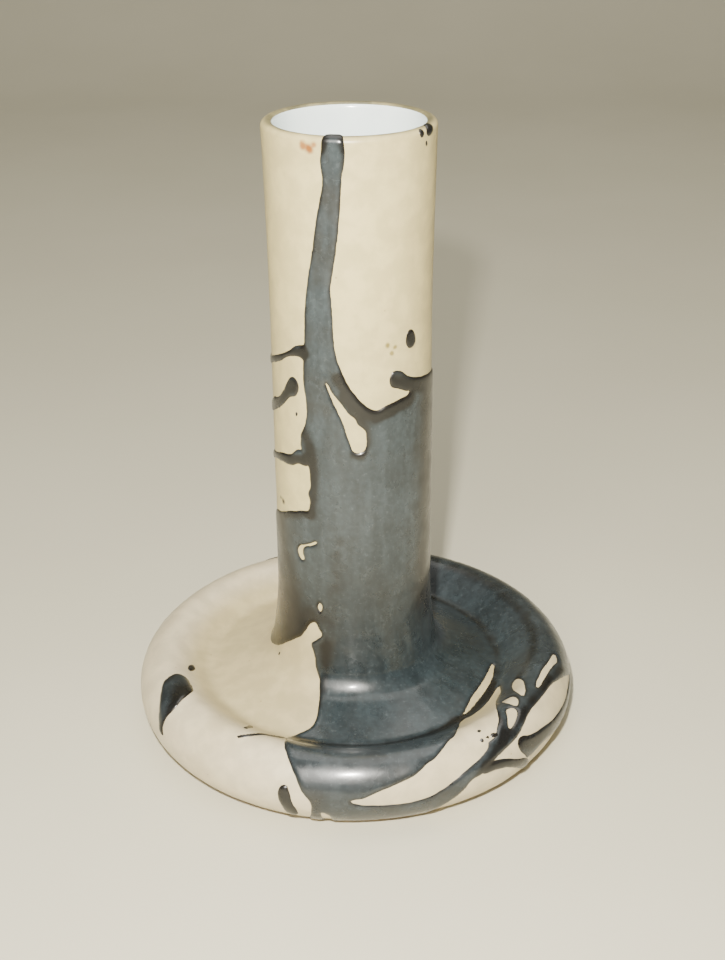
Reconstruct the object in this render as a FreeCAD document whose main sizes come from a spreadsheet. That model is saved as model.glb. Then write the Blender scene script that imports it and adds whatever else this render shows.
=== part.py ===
"""Bud vase in glazed stoneware: a straight neck luted into a low hollow base with a rolled rim.

All sizes are millimetres and degrees. The origin is on the table under the middle of the vase, +Z is up,
and the side of the vase that carries the main run of dark glaze faces -Y.

The clay parts are bare clay. Every coat of glaze is a shell of its own on the surface under it. A section
is drawn once, as a list of corners at a stated distance off the bare outside of the clay, so clay, coats
and cavity always run parallel.
"""

import FreeCAD, Part
import math
import os

import Sketcher

Vector = FreeCAD.Vector

doc = FreeCAD.newDocument("bud_vase")

# Driving dimensions -----------------------------------------------------------------------------------

SIZES = (
    ("overall_height", 178.0, "table to the top of the glazed lip"),
    ("tube_radius", 21.65, "bare outside of the neck below its waist"),
    ("clay_wall", 2.4, "wall of the neck and of the hollow base"),
    ("lip_flare", 0.75, "how much wider the neck is at the lip than at the waist"),
    ("waist_height", 120.0, "where the neck starts to open towards the lip"),
    ("liner_turn", 50.0, "degrees past the top of the lip where the liner glaze takes over"),
    ("flare_start", 48.0, "height where the neck starts to widen towards the dish"),
    ("flare_radius", 130.0, "long hollow curve at the foot of the neck"),
    ("flare_turn", 10.0, "degrees that the long curve turns before the tight one"),
    ("fillet_radius", 9.35, "tight hollow curve between neck and dish"),
    ("dish_slope", 17.0, "degrees that the dish falls outwards"),
    ("valley_radius", 4.35, "hollow where the dish meets the rolled rim"),
    ("flank_slope", 34.4, "degrees that the inner flank of the rim rises"),
    ("crest_radius", 6.25, "round of the top of the rim"),
    ("crest_turn", 55.0, "degrees above level where the top round meets the outer round"),
    ("roll_radius", 10.65, "outer round of the rim"),
    ("roll_centre_radius", 53.95, "axis of the vase to the centre of the outer round"),
    ("roll_dip", 1.65, "how far below the floor's underside the outer round would reach if it went on"),
    ("collar_height", 4.0, "straight collar above the flare, up to the neck joint"),
    ("lap_length", 6.0, "overlap of neck and base in the joint"),
    ("slip_film", 0.3, "thickness of joining slip"),
    ("foot_height", 2.0, "table to the underside of the floor"),
    ("foot_width", 8.0, "radial width of the foot ring"),
    ("foot_inset", 3.5, "foot ring's outside to the edge of the floor"),
    ("foot_seat", 0.8, "how deep the foot ring sits in its groove"),
    ("foot_round", 0.6, "rounded edge that stands on the table"),
    ("floor_wall", 3.0, "thickness of the floor slab"),
    ("toe_width", 2.1, "toe under the cavity's edge, up to the floor's seat"),
    ("glaze_coat", 0.35, "thickness of the cream glaze and of the liner glaze"),
    ("pour_coat", 0.45, "thickness of the dark glaze on top of the cream"),
)

sheet = doc.addObject("Spreadsheet::Sheet", "Sizes")
for row, (alias, value, meaning) in enumerate(SIZES, start=1):
    sheet.set(f"A{row}", alias)
    sheet.set(f"B{row}", str(value))
    sheet.set(f"C{row}", meaning)
    sheet.setAlias(f"B{row}", alias)
doc.recompute()


def value_of(expression):
    """Number that a sheet expression gives now."""
    return float(sheet.evalExpression(expression))


def size(alias):
    """Expression for one driving dimension."""
    return f"Sizes.{alias}"


def cosine(turn):
    """Expression for the cosine of an angle held in degrees."""
    return f"cos({turn} * 1 deg)"


def sine(turn):
    """Expression for the sine of an angle held in degrees."""
    return f"sin({turn} * 1 deg)"


# Worked-out places ------------------------------------------------------------------------------------
# A point of a section is a pair of expressions, its distance from the axis and its height.

BARE = "0"
COAT = size("glaze_coat")
POUR = f"({size('glaze_coat')} + {size('pour_coat')})"
CAVITY = f"(-{size('clay_wall')})"
LINED = f"(-{size('clay_wall')} - {size('glaze_coat')})"

bore = f"({size('tube_radius')} - {size('clay_wall')})"
joint_height = f"({size('flare_start')} + {size('collar_height')})"
lap_top = f"({joint_height} + {size('lap_length')})"
spigot_radius = f"({bore} + ({size('clay_wall')} - {size('slip_film')}) / 2)"
skirt_radius = f"({spigot_radius} + {size('slip_film')})"

lip_round = f"({size('clay_wall')} / 2)"
lip_centre = (
    f"({size('tube_radius')} + {size('lip_flare')} - {lip_round})",
    f"({size('overall_height')} - {size('glaze_coat')} - {lip_round})",
)
neck_run = f"({lip_centre[1]} - {size('waist_height')})"
neck_bow = f"(({neck_run} ^ 2 + {size('lip_flare')} ^ 2) / (2 * {size('lip_flare')}))"

floor_top = f"({size('foot_height')} + {size('floor_wall')})"
roll_height = f"({size('foot_height')} + {size('roll_radius')} - {size('roll_dip')})"
cavity_round = f"({size('roll_radius')} - {size('clay_wall')})"
cavity_drop = f"({roll_height} - {floor_top})"
cavity_edge = f"({size('roll_centre_radius')} + sqrt({cavity_round} ^ 2 - {cavity_drop} ^ 2))"
seat_radius = f"({cavity_edge} - {size('toe_width')})"
slab_radius = f"({seat_radius} - {size('slip_film')})"
foot_outer = f"({seat_radius} - {size('foot_inset')})"
foot_inner = f"({foot_outer} - {size('foot_width')})"
groove_top = f"({size('foot_height')} + {size('foot_seat')})"

flare_centre = (f"({size('tube_radius')} + {size('flare_radius')})", size("flare_start"))
flare_to_fillet = f"({size('flare_radius')} - {size('fillet_radius')})"
fillet_centre = (
    f"({flare_centre[0]} - {flare_to_fillet} * {cosine(size('flare_turn'))})",
    f"({flare_centre[1]} - {flare_to_fillet} * {sine(size('flare_turn'))})",
)
roll_centre = (size("roll_centre_radius"), roll_height)
crest_to_roll = f"({size('roll_radius')} - {size('crest_radius')})"
crest_centre = (
    f"({roll_centre[0]} + {crest_to_roll} * {cosine(size('crest_turn'))})",
    f"({roll_centre[1]} + {crest_to_roll} * {sine(size('crest_turn'))})",
)

# The valley's round touches the dish, which passes under the fillet's centre, and the flank, which passes
# over the crest's centre. Its centre is where the two lines that run parallel to them meet.
dish_out = sine(size("dish_slope"))
dish_up = cosine(size("dish_slope"))
flank_in = sine(size("flank_slope"))
flank_up = cosine(size("flank_slope"))
above_dish = (
    f"({fillet_centre[0]} * {dish_out} + {fillet_centre[1]} * {dish_up}"
    f" - {size('fillet_radius')} + {size('valley_radius')})"
)
above_flank = (
    f"({crest_centre[1]} * {flank_up} - {crest_centre[0]} * {flank_in}"
    f" + {size('crest_radius')} + {size('valley_radius')})"
)
both_slopes = f"sin(({size('dish_slope')} + {size('flank_slope')}) * 1 deg)"
valley_centre = (
    f"(({above_dish} * {flank_up} - {above_flank} * {dish_up}) / {both_slopes})",
    f"(({above_dish} * {flank_in} + {above_flank} * {dish_out}) / {both_slopes})",
)


def off_centre(centre, reach, out, up):
    """Point at a reach from a centre, in the direction (out, up)."""
    return (f"({centre[0]} + {reach} * ({out}))", f"({centre[1]} + {reach} * ({up}))")


def base_section(off, end_height):
    """Corners from the collar, over dish and rim, to end_height under the rim, at a distance off the clay."""
    flare_reach = f"({size('flare_radius')} - {off})"
    fillet_reach = f"({size('fillet_radius')} - {off})"
    valley_reach = f"({size('valley_radius')} - {off})"
    crest_reach = f"({size('crest_radius')} + {off})"
    roll_reach = f"({size('roll_radius')} + {off})"
    turn_out, turn_up = cosine(size("flare_turn")), sine(size("flare_turn"))
    end_radius = f"({roll_centre[0]} + sqrt({roll_reach} ^ 2 - ({roll_centre[1]} - {end_height}) ^ 2))"
    return [
        ((f"({size('tube_radius')} + {off})", size("flare_start")), (flare_reach, flare_centre)),
        (off_centre(flare_centre, flare_reach, f"-{turn_out}", f"-{turn_up}"), (fillet_reach, fillet_centre)),
        (off_centre(fillet_centre, fillet_reach, f"-{dish_out}", f"-{dish_up}"), None),
        (
            off_centre(valley_centre, valley_reach, f"-{dish_out}", f"-{dish_up}"),
            (valley_reach, valley_centre),
        ),
        (off_centre(valley_centre, valley_reach, flank_in, f"-{flank_up}"), None),
        (off_centre(crest_centre, crest_reach, f"-{flank_in}", flank_up), (crest_reach, crest_centre)),
        (
            off_centre(roll_centre, roll_reach, cosine(size("crest_turn")), sine(size("crest_turn"))),
            (roll_reach, roll_centre),
        ),
        ((end_radius, end_height), None),
    ]


def neck_section(off, bow_side):
    """Corners up one side of the neck above the collar: its waist, then the start of the lip's round."""
    bow_centre = (f"({size('tube_radius')} + {off} + {neck_bow})", size("waist_height"))
    lip_side = (f"({size('tube_radius')} + {size('lip_flare')} + {off})", lip_centre[1])
    return [
        ((f"({size('tube_radius')} + {off})", size("waist_height")), (neck_bow, bow_centre)),
        (lip_side, bow_side),
    ]


def lip_point(reach, turn):
    """Point on a round about the lip's centre, turn degrees up from level on its outer side."""
    return off_centre(lip_centre, reach, cosine(turn), sine(turn))


def backwards(corners):
    """The same corners in the other order, each edge kept with its own two ends."""
    points = [point for point, _ in corners]
    edges = [edge for _, edge in corners]
    return [(point, edge) for point, edge in zip(points[::-1], edges[-2::-1] + [None])]


# Sections and bodies ----------------------------------------------------------------------------------


def origin_feature(body, role):
    """A plane or axis of the body's own origin, found by its role."""
    return next(item for item in body.Origin.OriginFeatures if item.Role == role)


def add_edge(sketch, start, end, edge):
    """Draw one edge and return its number and the point numbers of its start and its end."""
    if edge is None:
        return sketch.addGeometry(Part.LineSegment(start, end), False), 1, 2
    middle = Vector(value_of(edge[1][0]), value_of(edge[1][1]), 0)
    from_angle = math.atan2(start.y - middle.y, start.x - middle.x)
    to_angle = math.atan2(end.y - middle.y, end.x - middle.x)
    counter_clockwise = (to_angle - from_angle) % math.tau < math.pi
    circle = Part.Circle(middle, Vector(0, 0, 1), (start - middle).Length)
    if counter_clockwise:
        return sketch.addGeometry(Part.ArcOfCircle(circle, from_angle, to_angle), False), 1, 2
    return sketch.addGeometry(Part.ArcOfCircle(circle, to_angle, from_angle), False), 2, 1


def hold(sketch, name, kind, geometry, point, expression):
    """Hold one coordinate of a corner to an expression."""
    number = sketch.addConstraint(Sketcher.Constraint(kind, -1, 1, geometry, point, value_of(expression)))
    sketch.renameConstraint(number, name)
    sketch.setExpression(f"Constraints.{name}", expression)


def turned_body(label, corners):
    """Body turned about the vase's axis from a closed ring of corners ((radius, height), edge)."""
    body = doc.addObject("PartDesign::Body", label)
    body.Label = label
    sketch = body.newObject("Sketcher::SketchObject", f"{label}_section")
    sketch.AttachmentSupport = (origin_feature(body, "XZ_Plane"), [""])
    sketch.MapMode = "FlatFace"
    points = [Vector(value_of(radius), value_of(height), 0) for (radius, height), _ in corners]
    drawn = []
    for number, (_, edge) in enumerate(corners):
        drawn.append(add_edge(sketch, points[number], points[(number + 1) % len(points)], edge))
    for number, ((radius, height), edge) in enumerate(corners):
        geometry, start, _ = drawn[number]
        before, _, before_end = drawn[number - 1]
        sketch.addConstraint(Sketcher.Constraint("Coincident", before, before_end, geometry, start))
        hold(sketch, f"radius_{number}", "DistanceX", geometry, start, radius)
        hold(sketch, f"height_{number}", "DistanceY", geometry, start, height)
        if edge is not None:
            round_number = sketch.addConstraint(Sketcher.Constraint("Radius", geometry, value_of(edge[0])))
            sketch.renameConstraint(round_number, f"round_{number}")
            sketch.setExpression(f"Constraints.round_{number}", edge[0])
    turned = body.newObject("PartDesign::Revolution", f"{label}_turned")
    turned.Profile = (sketch, [""])
    turned.ReferenceAxis = (sketch, ["V_Axis"])
    turned.Angle = 360.0
    sketch.Visibility = False
    body.Placement = FreeCAD.Placement()
    doc.recompute()
    return body


def ring(inner, outer, bottom, top):
    """Corners of a plain ring or disc."""
    return [((inner, bottom), None), ((outer, bottom), None), ((outer, top), None), ((inner, top), None)]


# Clay -------------------------------------------------------------------------------------------------

neck_outside = neck_section(BARE, (lip_round, lip_centre))
neck_inside = neck_section(CAVITY, None)
neck_tube = turned_body(
    "neck_tube",
    [((skirt_radius, joint_height), None), ((size("tube_radius"), joint_height), None)]
    + neck_outside
    + [(lip_point(lip_round, "90"), (lip_round, lip_centre))]
    + backwards(neck_inside)
    + [((bore, lap_top), None), ((skirt_radius, lap_top), None)],
)

cavity_section = base_section(CAVITY, floor_top)
base_shell = turned_body(
    "base_shell",
    [((spigot_radius, lap_top), None), ((spigot_radius, joint_height), None)]
    + [((size("tube_radius"), joint_height), None)]
    + base_section(BARE, size("foot_height"))
    + [((seat_radius, size("foot_height")), None), ((seat_radius, floor_top), None)]
    + backwards(cavity_section)
    + [((bore, lap_top), None)],
)

base_floor = turned_body(
    "base_floor",
    [
        (("0", size("foot_height")), None),
        ((foot_inner, size("foot_height")), None),
        ((foot_inner, groove_top), None),
        ((foot_outer, groove_top), None),
        ((foot_outer, size("foot_height")), None),
        ((slab_radius, size("foot_height")), None),
        ((slab_radius, floor_top), None),
        (("0", floor_top), None),
    ],
)

foot_round_out = (f"({foot_outer} - {size('foot_round')})", size("foot_round"))
foot_round_in = (f"({foot_inner} + {size('foot_round')})", size("foot_round"))
foot_ring = turned_body(
    "foot_ring",
    [
        ((foot_round_in[0], "0"), None),
        ((foot_round_out[0], "0"), (size("foot_round"), foot_round_out)),
        ((foot_outer, size("foot_round")), None),
        ((foot_outer, groove_top), None),
        ((foot_inner, groove_top), None),
        ((foot_inner, size("foot_round")), (size("foot_round"), foot_round_in)),
    ],
)

neck_slip = turned_body("neck_slip", ring(spigot_radius, skirt_radius, joint_height, lap_top))
floor_slip = turned_body("floor_slip", ring(slab_radius, seat_radius, size("foot_height"), floor_top))

# Coats over the whole outside and inside --------------------------------------------------------------

lip_coat_round = f"({lip_round} + {size('glaze_coat')})"
liner_edge = f"(90 + {size('liner_turn')})"


def lip_cap(reach, far_turn, edge_after):
    """Corners over the lip, from its top to the edge between cream glaze and liner."""
    return [(lip_point(reach, "90"), (reach, lip_centre)), (lip_point(reach, far_turn), edge_after)]


def outer_side(off, lip_edge):
    """Corners of the outside, from the underside of the rim up to the lip's outer side."""
    return backwards(base_section(off, size("foot_height"))) + neck_section(off, lip_edge)


cream_outside = outer_side(COAT, (lip_coat_round, lip_centre)) + lip_cap(lip_coat_round, liner_edge, None)
clay_outside = outer_side(BARE, (lip_round, lip_centre)) + lip_cap(lip_round, liner_edge, None)
cream_glaze = turned_body("cream_glaze", cream_outside + backwards(clay_outside))

lined_side = base_section(LINED, f"({floor_top} + {size('glaze_coat')})")
clay_inside = (
    [(lip_point(lip_round, liner_edge), (lip_round, lip_centre))]
    + backwards(neck_inside)
    + cavity_section
    + [(("0", floor_top), None)]
)
liner_inside = (
    [(("0", f"({floor_top} + {size('glaze_coat')})"), None)]
    + backwards(lined_side)
    + neck_section(LINED, (lip_coat_round, lip_centre))
    + [(lip_point(lip_coat_round, liner_edge), None)]
)
liner_glaze = turned_body("liner_glaze", clay_inside + liner_inside)

# Dark glaze -------------------------------------------------------------------------------------------
# The dark glaze ran freely, so each patch is a hand-drawn outline cut out of a shell of its thickness.
# Outlines on the neck are (degrees round from the front, share of the way up from joint to lip), seen from
# the front or from behind. Outlines on the base are (degrees round from the front, distance from the axis
# as a share of the rim's outer radius), seen from above.

lowest_dark = f"({size('foot_height')} + {size('pour_coat')})"
neck_coat_side = [((f"({size('tube_radius')} + {COAT})", joint_height), None)] + neck_section(COAT, None)
neck_pour_side = [((f"({size('tube_radius')} + {POUR})", joint_height), None)] + neck_section(POUR, None)
neck_dark_shell = turned_body("neck_dark_shell", neck_pour_side + backwards(neck_coat_side))

base_coat_side = neck_coat_side[:1] + base_section(COAT, lowest_dark)
base_pour_side = neck_pour_side[:1] + base_section(POUR, lowest_dark)
base_dark_shell = turned_body("base_dark_shell", base_pour_side + backwards(base_coat_side))

SIDE = 90.0
PAST_SIDE = 1.3
front_radius = value_of(f"({size('tube_radius')} + {POUR})")
rim_radius = value_of(f"({size('roll_centre_radius')} + {size('roll_radius')} + {POUR})")
neck_bottom = value_of(joint_height)
neck_length = value_of(lip_centre[1]) - neck_bottom
stencil_depth = 2.0 * rim_radius


def smooth_face(points):
    """Flat face inside a closed smooth curve through the points."""
    curve = Part.BSplineCurve()
    curve.interpolate(points, PeriodicFlag=True)
    return Part.Face(Part.Wire([curve.toShape()]))


def neck_stencil(outline, depth):
    """Solid that cuts a patch out of the neck's front (depth below 0) or back (depth above 0)."""
    points = []
    for degrees, share in outline:
        across = math.sin(math.radians(degrees))
        if abs(degrees) >= SIDE:
            across *= PAST_SIDE
        points.append(Vector(front_radius * across, 0, neck_bottom + neck_length * share))
    return smooth_face(points).extrude(Vector(0, depth, 0))


def base_stencil(outline):
    """Solid that cuts a patch out of the base from above."""
    points = []
    for degrees, share in outline:
        turn = math.radians(degrees)
        points.append(Vector(rim_radius * share * math.sin(turn), -rim_radius * share * math.cos(turn), 0))
    return smooth_face(points).extrude(Vector(0, 0, neck_bottom))


def wall_stencil(outline):
    """Solid that cuts a patch out of the rim's front wall: (degrees round, share of the rim's height)."""
    rim_height = value_of(f"({roll_height} + {size('roll_radius')})")
    points = []
    for degrees, share in outline:
        across = math.sin(math.radians(degrees))
        points.append(Vector(rim_radius * across, -stencil_depth, rim_height * share))
    start = rim_radius * math.cos(math.radians(SIDE / 2))
    return smooth_face(points).extrude(Vector(0, stencil_depth - start, 0))


NECK_POUR = (
    (-11.0, 1.10), (-18.5, 0.97), (-19.0, 0.93), (-22.0, 0.84), (-30.0, 0.71), (-34.0, 0.58), (-36.0, 0.49),
    (-39.0, 0.41), (-35.0, 0.35), (-33.0, 0.25), (-34.0, 0.19), (-50.0, 0.165), (-65.0, 0.14), (-90.0, 0.115),
    (-90.0, -0.15), (0.0, -0.20), (90.0, -0.15), (90.0, 0.44), (65.0, 0.46), (52.0, 0.48), (40.0, 0.50),
    (33.0, 0.52), (27.5, 0.505), (33.0, 0.47), (40.0, 0.45), (17.0, 0.43), (3.0, 0.465), (-8.0, 0.53),
    (-12.5, 0.62), (-13.0, 0.70), (-9.0, 0.81), (-5.0, 0.91), (-3.0, 0.97),
)
NECK_LEAF = (
    (-17.0, 0.49), (-8.0, 0.455), (2.0, 0.41), (9.0, 0.365), (6.0, 0.335), (-1.0, 0.34), (-10.0, 0.42),
)
NECK_UPPER_BAND = (
    (-31.0, 0.575), (-50.0, 0.555), (-70.0, 0.53), (-90.0, 0.51), (-90.0, 0.485), (-70.0, 0.50),
    (-50.0, 0.53), (-33.0, 0.55),
)
NECK_FINGER = (
    (-90.0, 0.39), (-70.0, 0.42), (-55.0, 0.46), (-46.0, 0.485), (-41.0, 0.475), (-44.0, 0.45),
    (-65.0, 0.385), (-90.0, 0.35),
)
NECK_LOWER_BAND = (
    (-33.0, 0.30), (-42.0, 0.32), (-60.0, 0.295), (-90.0, 0.265), (-90.0, 0.24), (-60.0, 0.265),
    (-36.0, 0.275),
)
NECK_BACK = (
    (90.0, 0.44), (70.0, 0.46), (50.0, 0.50), (35.0, 0.47), (20.0, 0.48), (11.0, 0.60), (9.0, 0.75),
    (8.0, 0.95), (2.0, 1.10), (-5.0, 0.95), (-6.0, 0.75), (-9.0, 0.60), (-16.0, 0.45), (-30.0, 0.34),
    (-50.0, 0.28), (-65.0, 0.17), (-90.0, 0.115), (-90.0, -0.15), (0.0, -0.20), (90.0, -0.15),
)
BASE_POUR = (
    (-22.5, 0.43), (-20.0, 0.47), (-18.0, 0.54), (-20.0, 0.62), (-23.5, 0.68), (-21.5, 0.78),
    (-18.5, 0.88), (-15.0, 0.95), (-11.0, 1.03), (-5.0, 1.06), (0.0, 1.00), (10.0, 0.97), (20.0, 0.93),
    (29.0, 0.86), (35.0, 0.78), (42.0, 0.69), (52.0, 0.64), (70.0, 0.615), (82.0, 0.63), (82.0, 0.67),
    (70.0, 0.68), (72.0, 0.72), (66.0, 0.77), (58.0, 0.78), (50.0, 0.86), (43.0, 0.94), (38.0, 0.945),
    (32.0, 0.975), (37.0, 1.05), (45.0, 0.975), (56.0, 0.94), (68.0, 0.955), (80.0, 1.04), (100.0, 1.10),
    (130.0, 1.10), (160.0, 1.10), (172.0, 0.95), (176.0, 0.70), (179.0, 0.45), (200.0, 0.360), (230.0, 0.356),
    (270.0, 0.360), (300.0, 0.354), (318.0, 0.356), (331.0, 0.380),
)
BASE_APRON = (
    (-13.0, 0.62), (-11.0, 0.35), (-11.5, -0.10), (3.0, 0.05), (20.0, 0.28), (30.0, 0.60), (26.0, 0.74),
    (18.0, 0.52), (8.0, 0.46), (0.0, 0.55), (-5.0, 0.80),
)
BASE_TEAR = (
    (-71.0, 0.80), (-66.0, 0.79), (-60.0, 0.86), (-57.5, 0.95), (-57.0, 1.01), (-62.0, 0.99), (-70.0, 0.91),
)
BASE_SPECK = ((-80.5, 0.725), (-78.0, 0.745), (-77.0, 0.785), (-79.5, 0.765))
WALL_DROP = ((-18.0, 0.70), (-16.5, 0.55), (-15.5, 0.30), (-16.5, 0.20), (-18.3, 0.30), (-19.0, 0.55))
NECK_DROP = ((45.0, 0.593), (50.0, 0.575), (45.0, 0.548), (40.0, 0.570))


def facing(body, degrees):
    """Shape of a turned body with its seam turned round from the right-hand side, clear of the cuts."""
    return body.Shape.rotated(Vector(), Vector(0, 0, 1), degrees)


def glaze_patches(label, shape):
    """One node of dark glaze, set from its finished shape."""
    patches = doc.addObject("Part::Feature", label)
    patches.Label = label
    patches.Shape = Part.Compound(shape.Solids)
    patches.Placement = FreeCAD.Placement()
    return patches


neck_front = neck_stencil(NECK_POUR, -stencil_depth).cut(neck_stencil(NECK_LEAF, -stencil_depth))
neck_front = neck_front.fuse(
    [neck_stencil(band, -stencil_depth) for band in (NECK_UPPER_BAND, NECK_FINGER, NECK_LOWER_BAND)]
)
neck_back = neck_stencil(NECK_BACK, stencil_depth)
front_pour = facing(neck_dark_shell, 90.0).common(neck_front)
back_pour = facing(neck_dark_shell, -90.0).common(neck_back)
dark_pour_neck = glaze_patches("dark_pour_neck", front_pour.fuse(back_pour))

base_patch = base_stencil(BASE_POUR).fuse(wall_stencil(BASE_APRON))
dark_pour_base = glaze_patches("dark_pour_base", base_dark_shell.Shape.common(base_patch))

base_drops = base_stencil(BASE_TEAR).fuse([base_stencil(BASE_SPECK), wall_stencil(WALL_DROP)])
drops = base_dark_shell.Shape.common(base_drops).fuse(
    neck_dark_shell.Shape.common(neck_stencil(NECK_DROP, -stencil_depth))
)
dark_drops = glaze_patches("dark_drops", drops)

# Check and write --------------------------------------------------------------------------------------

doc.recompute()
faults = [
    f"{item.Label}: {state}" for item in doc.Objects for state in item.State if state in ("Invalid", "Error")
]
nodes = (
    neck_tube,
    base_shell,
    base_floor,
    foot_ring,
    neck_slip,
    floor_slip,
    cream_glaze,
    liner_glaze,
    dark_pour_neck,
    dark_pour_base,
    dark_drops,
)
for node in nodes:
    if node.Shape.isNull() or not node.Shape.isValid() or not node.Shape.Solids:
        faults.append(f"{node.Label}: shape is null, empty or invalid")
if faults:
    raise RuntimeError("; ".join(faults))

os.makedirs("parts", exist_ok=True)
for node in nodes:
    node.Shape.exportStep(f"parts/{node.Label}.step")
    print(f"{node.Label}: {len(node.Shape.Solids)} solids, {node.Shape.Volume:.1f} mm3")
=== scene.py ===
"""Glazed stoneware bud vase: fine pieces and finishes over the packed clay model.

The clay body and its slip joints come from the frame. This script turns the foot ring and the floor slab
anew and adds what the glazing shed did: a cream coat over the outside, a white liner inside, and a dark slate
glaze that was poured on and ran.

Places on the outside are given as a turn in degrees round from the front, positive to the right, and a run
in millimetres along the section, 0 on the crest of the rolled rim, positive outwards and down the rim's
wall, negative inwards over the dish and up the neck.
"""

import sys

import logging
import math
from dataclasses import dataclass, field
from enum import Enum
from typing import Any, Callable, Sequence

import bmesh
import bpy
import numpy as np
from bmesh.types import BMesh, BMVert
from mathutils import Matrix, Vector, noise


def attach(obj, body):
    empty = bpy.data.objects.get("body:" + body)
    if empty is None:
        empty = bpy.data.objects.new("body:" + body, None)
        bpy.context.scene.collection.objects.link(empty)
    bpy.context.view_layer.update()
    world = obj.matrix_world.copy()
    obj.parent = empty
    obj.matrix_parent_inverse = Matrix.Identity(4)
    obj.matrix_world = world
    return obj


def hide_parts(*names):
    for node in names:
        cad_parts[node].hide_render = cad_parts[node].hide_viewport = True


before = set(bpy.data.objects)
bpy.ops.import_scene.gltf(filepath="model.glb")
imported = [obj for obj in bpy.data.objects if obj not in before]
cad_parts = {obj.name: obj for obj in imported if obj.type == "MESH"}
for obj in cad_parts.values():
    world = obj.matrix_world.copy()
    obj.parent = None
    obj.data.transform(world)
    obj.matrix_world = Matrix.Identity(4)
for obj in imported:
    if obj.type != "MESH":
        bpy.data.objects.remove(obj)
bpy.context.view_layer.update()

MM = 0.001
# An edge that turns by more than this stays crisp.
SHARP = math.radians(50.0)
# Points of a shell nearer than this are one point, where its two sides meet at an edge.
WELD = 0.004 * MM
# How far from an outline its distance is still measured, in millimetres.
FAR = 9.0
SMOOTH = {"interpolation_type": "SMOOTHSTEP"}
LOG = logging.getLogger("bud_vase")

Point = tuple[float, float]
Colour = tuple[float, float, float, float]
Corners = tuple[Point, ...]


class Stretch(Enum):
    """Stretches of the outside that a patch of dark glaze can lie on."""

    NECK = "neck"
    BASE = "base"


class Slot(Enum):
    """Material slots of the record."""

    BARE_CLAY = "bare_clay"
    CREAM_GLAZE = "cream_glaze"
    LINER_GLAZE = "liner_glaze"
    DARK_GLAZE = "dark_glaze"


class Layer(Enum):
    """Values that the points of a piece carry, for its finish or while it is made."""

    RUN = "run_mm"
    EDGE = "edge_mm"
    # How thin the dark glaze is, with painted shade added in the dish's valley and down the neck's sides.
    THIN = "thin"
    DRIFT = "drift"
    WAY = "way"


# Sizes and section ------------------------------------------------------------------------------------


@dataclass(frozen=True)
class PotSizes:
    """Sizes of the pot in millimetres and degrees, the same as the clay model's."""

    height: float = 178.0
    tube_radius: float = 21.65
    wall: float = 2.4
    lip_flare: float = 0.75
    waist_height: float = 120.0
    liner_turn: float = 50.0
    flare_start: float = 48.0
    flare_radius: float = 130.0
    flare_turn: float = 10.0
    fillet_radius: float = 9.35
    dish_slope: float = 17.0
    valley_radius: float = 4.35
    flank_slope: float = 34.4
    crest_radius: float = 6.25
    crest_turn: float = 55.0
    roll_radius: float = 10.65
    roll_centre: Point = (53.95, 11.0)
    collar_height: float = 4.0
    foot_height: float = 2.0
    foot_width: float = 8.0
    foot_inset: float = 3.5
    foot_seat: float = 0.8
    foot_round: float = 0.6
    floor_wall: float = 3.0
    toe_width: float = 2.1
    slip_film: float = 0.3
    coat: float = 0.35
    pour: float = 0.45

    @property
    def joint_height(self) -> float:
        """Height of the seam between neck and base."""
        return self.flare_start + self.collar_height

    @property
    def floor_top(self) -> float:
        """Height of the bare floor inside the base."""
        return self.foot_height + self.floor_wall

    @property
    def lip_round(self) -> float:
        """Radius of the bare lip's round."""
        return self.wall / 2

    @property
    def lip_centre(self) -> Point:
        """Centre of the lip's round."""
        return (self.tube_radius + self.lip_flare - self.lip_round, self.height - self.coat - self.lip_round)

    @property
    def bow_radius(self) -> float:
        """Radius of the long bow between the neck's waist and its lip."""
        rise = self.lip_centre[1] - self.waist_height
        return (rise**2 + self.lip_flare**2) / (2 * self.lip_flare)

    @property
    def fillet_centre(self) -> Point:
        """Centre of the tight hollow between neck and dish."""
        reach = self.flare_radius - self.fillet_radius
        turn = math.radians(self.flare_turn)
        out = self.tube_radius + self.flare_radius - reach * math.cos(turn)
        return (out, self.flare_start - reach * math.sin(turn))

    @property
    def crest_centre(self) -> Point:
        """Centre of the round on top of the rim."""
        reach = self.roll_radius - self.crest_radius
        turn = math.radians(self.crest_turn)
        return (self.roll_centre[0] + reach * math.cos(turn), self.roll_centre[1] + reach * math.sin(turn))

    @property
    def valley_centre(self) -> Point:
        """Centre of the hollow that touches the dish and the rim's inner flank."""
        dish, flank = math.radians(self.dish_slope), math.radians(self.flank_slope)
        fillet, crest = self.fillet_centre, self.crest_centre
        above_dish = fillet[0] * math.sin(dish) + fillet[1] * math.cos(dish)
        above_dish += self.valley_radius - self.fillet_radius
        above_flank = crest[1] * math.cos(flank) - crest[0] * math.sin(flank)
        above_flank += self.crest_radius + self.valley_radius
        both = math.sin(dish + flank)
        out = (above_dish * math.cos(flank) - above_flank * math.cos(dish)) / both
        return (out, (above_dish * math.sin(flank) + above_flank * math.sin(dish)) / both)

    @property
    def seat_radius(self) -> float:
        """Radius of the seat that holds the floor slab."""
        reach = self.roll_radius - self.wall
        drop = self.roll_centre[1] - self.floor_top
        return self.roll_centre[0] + math.sqrt(reach**2 - drop**2) - self.toe_width


POT = PotSizes()


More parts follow.
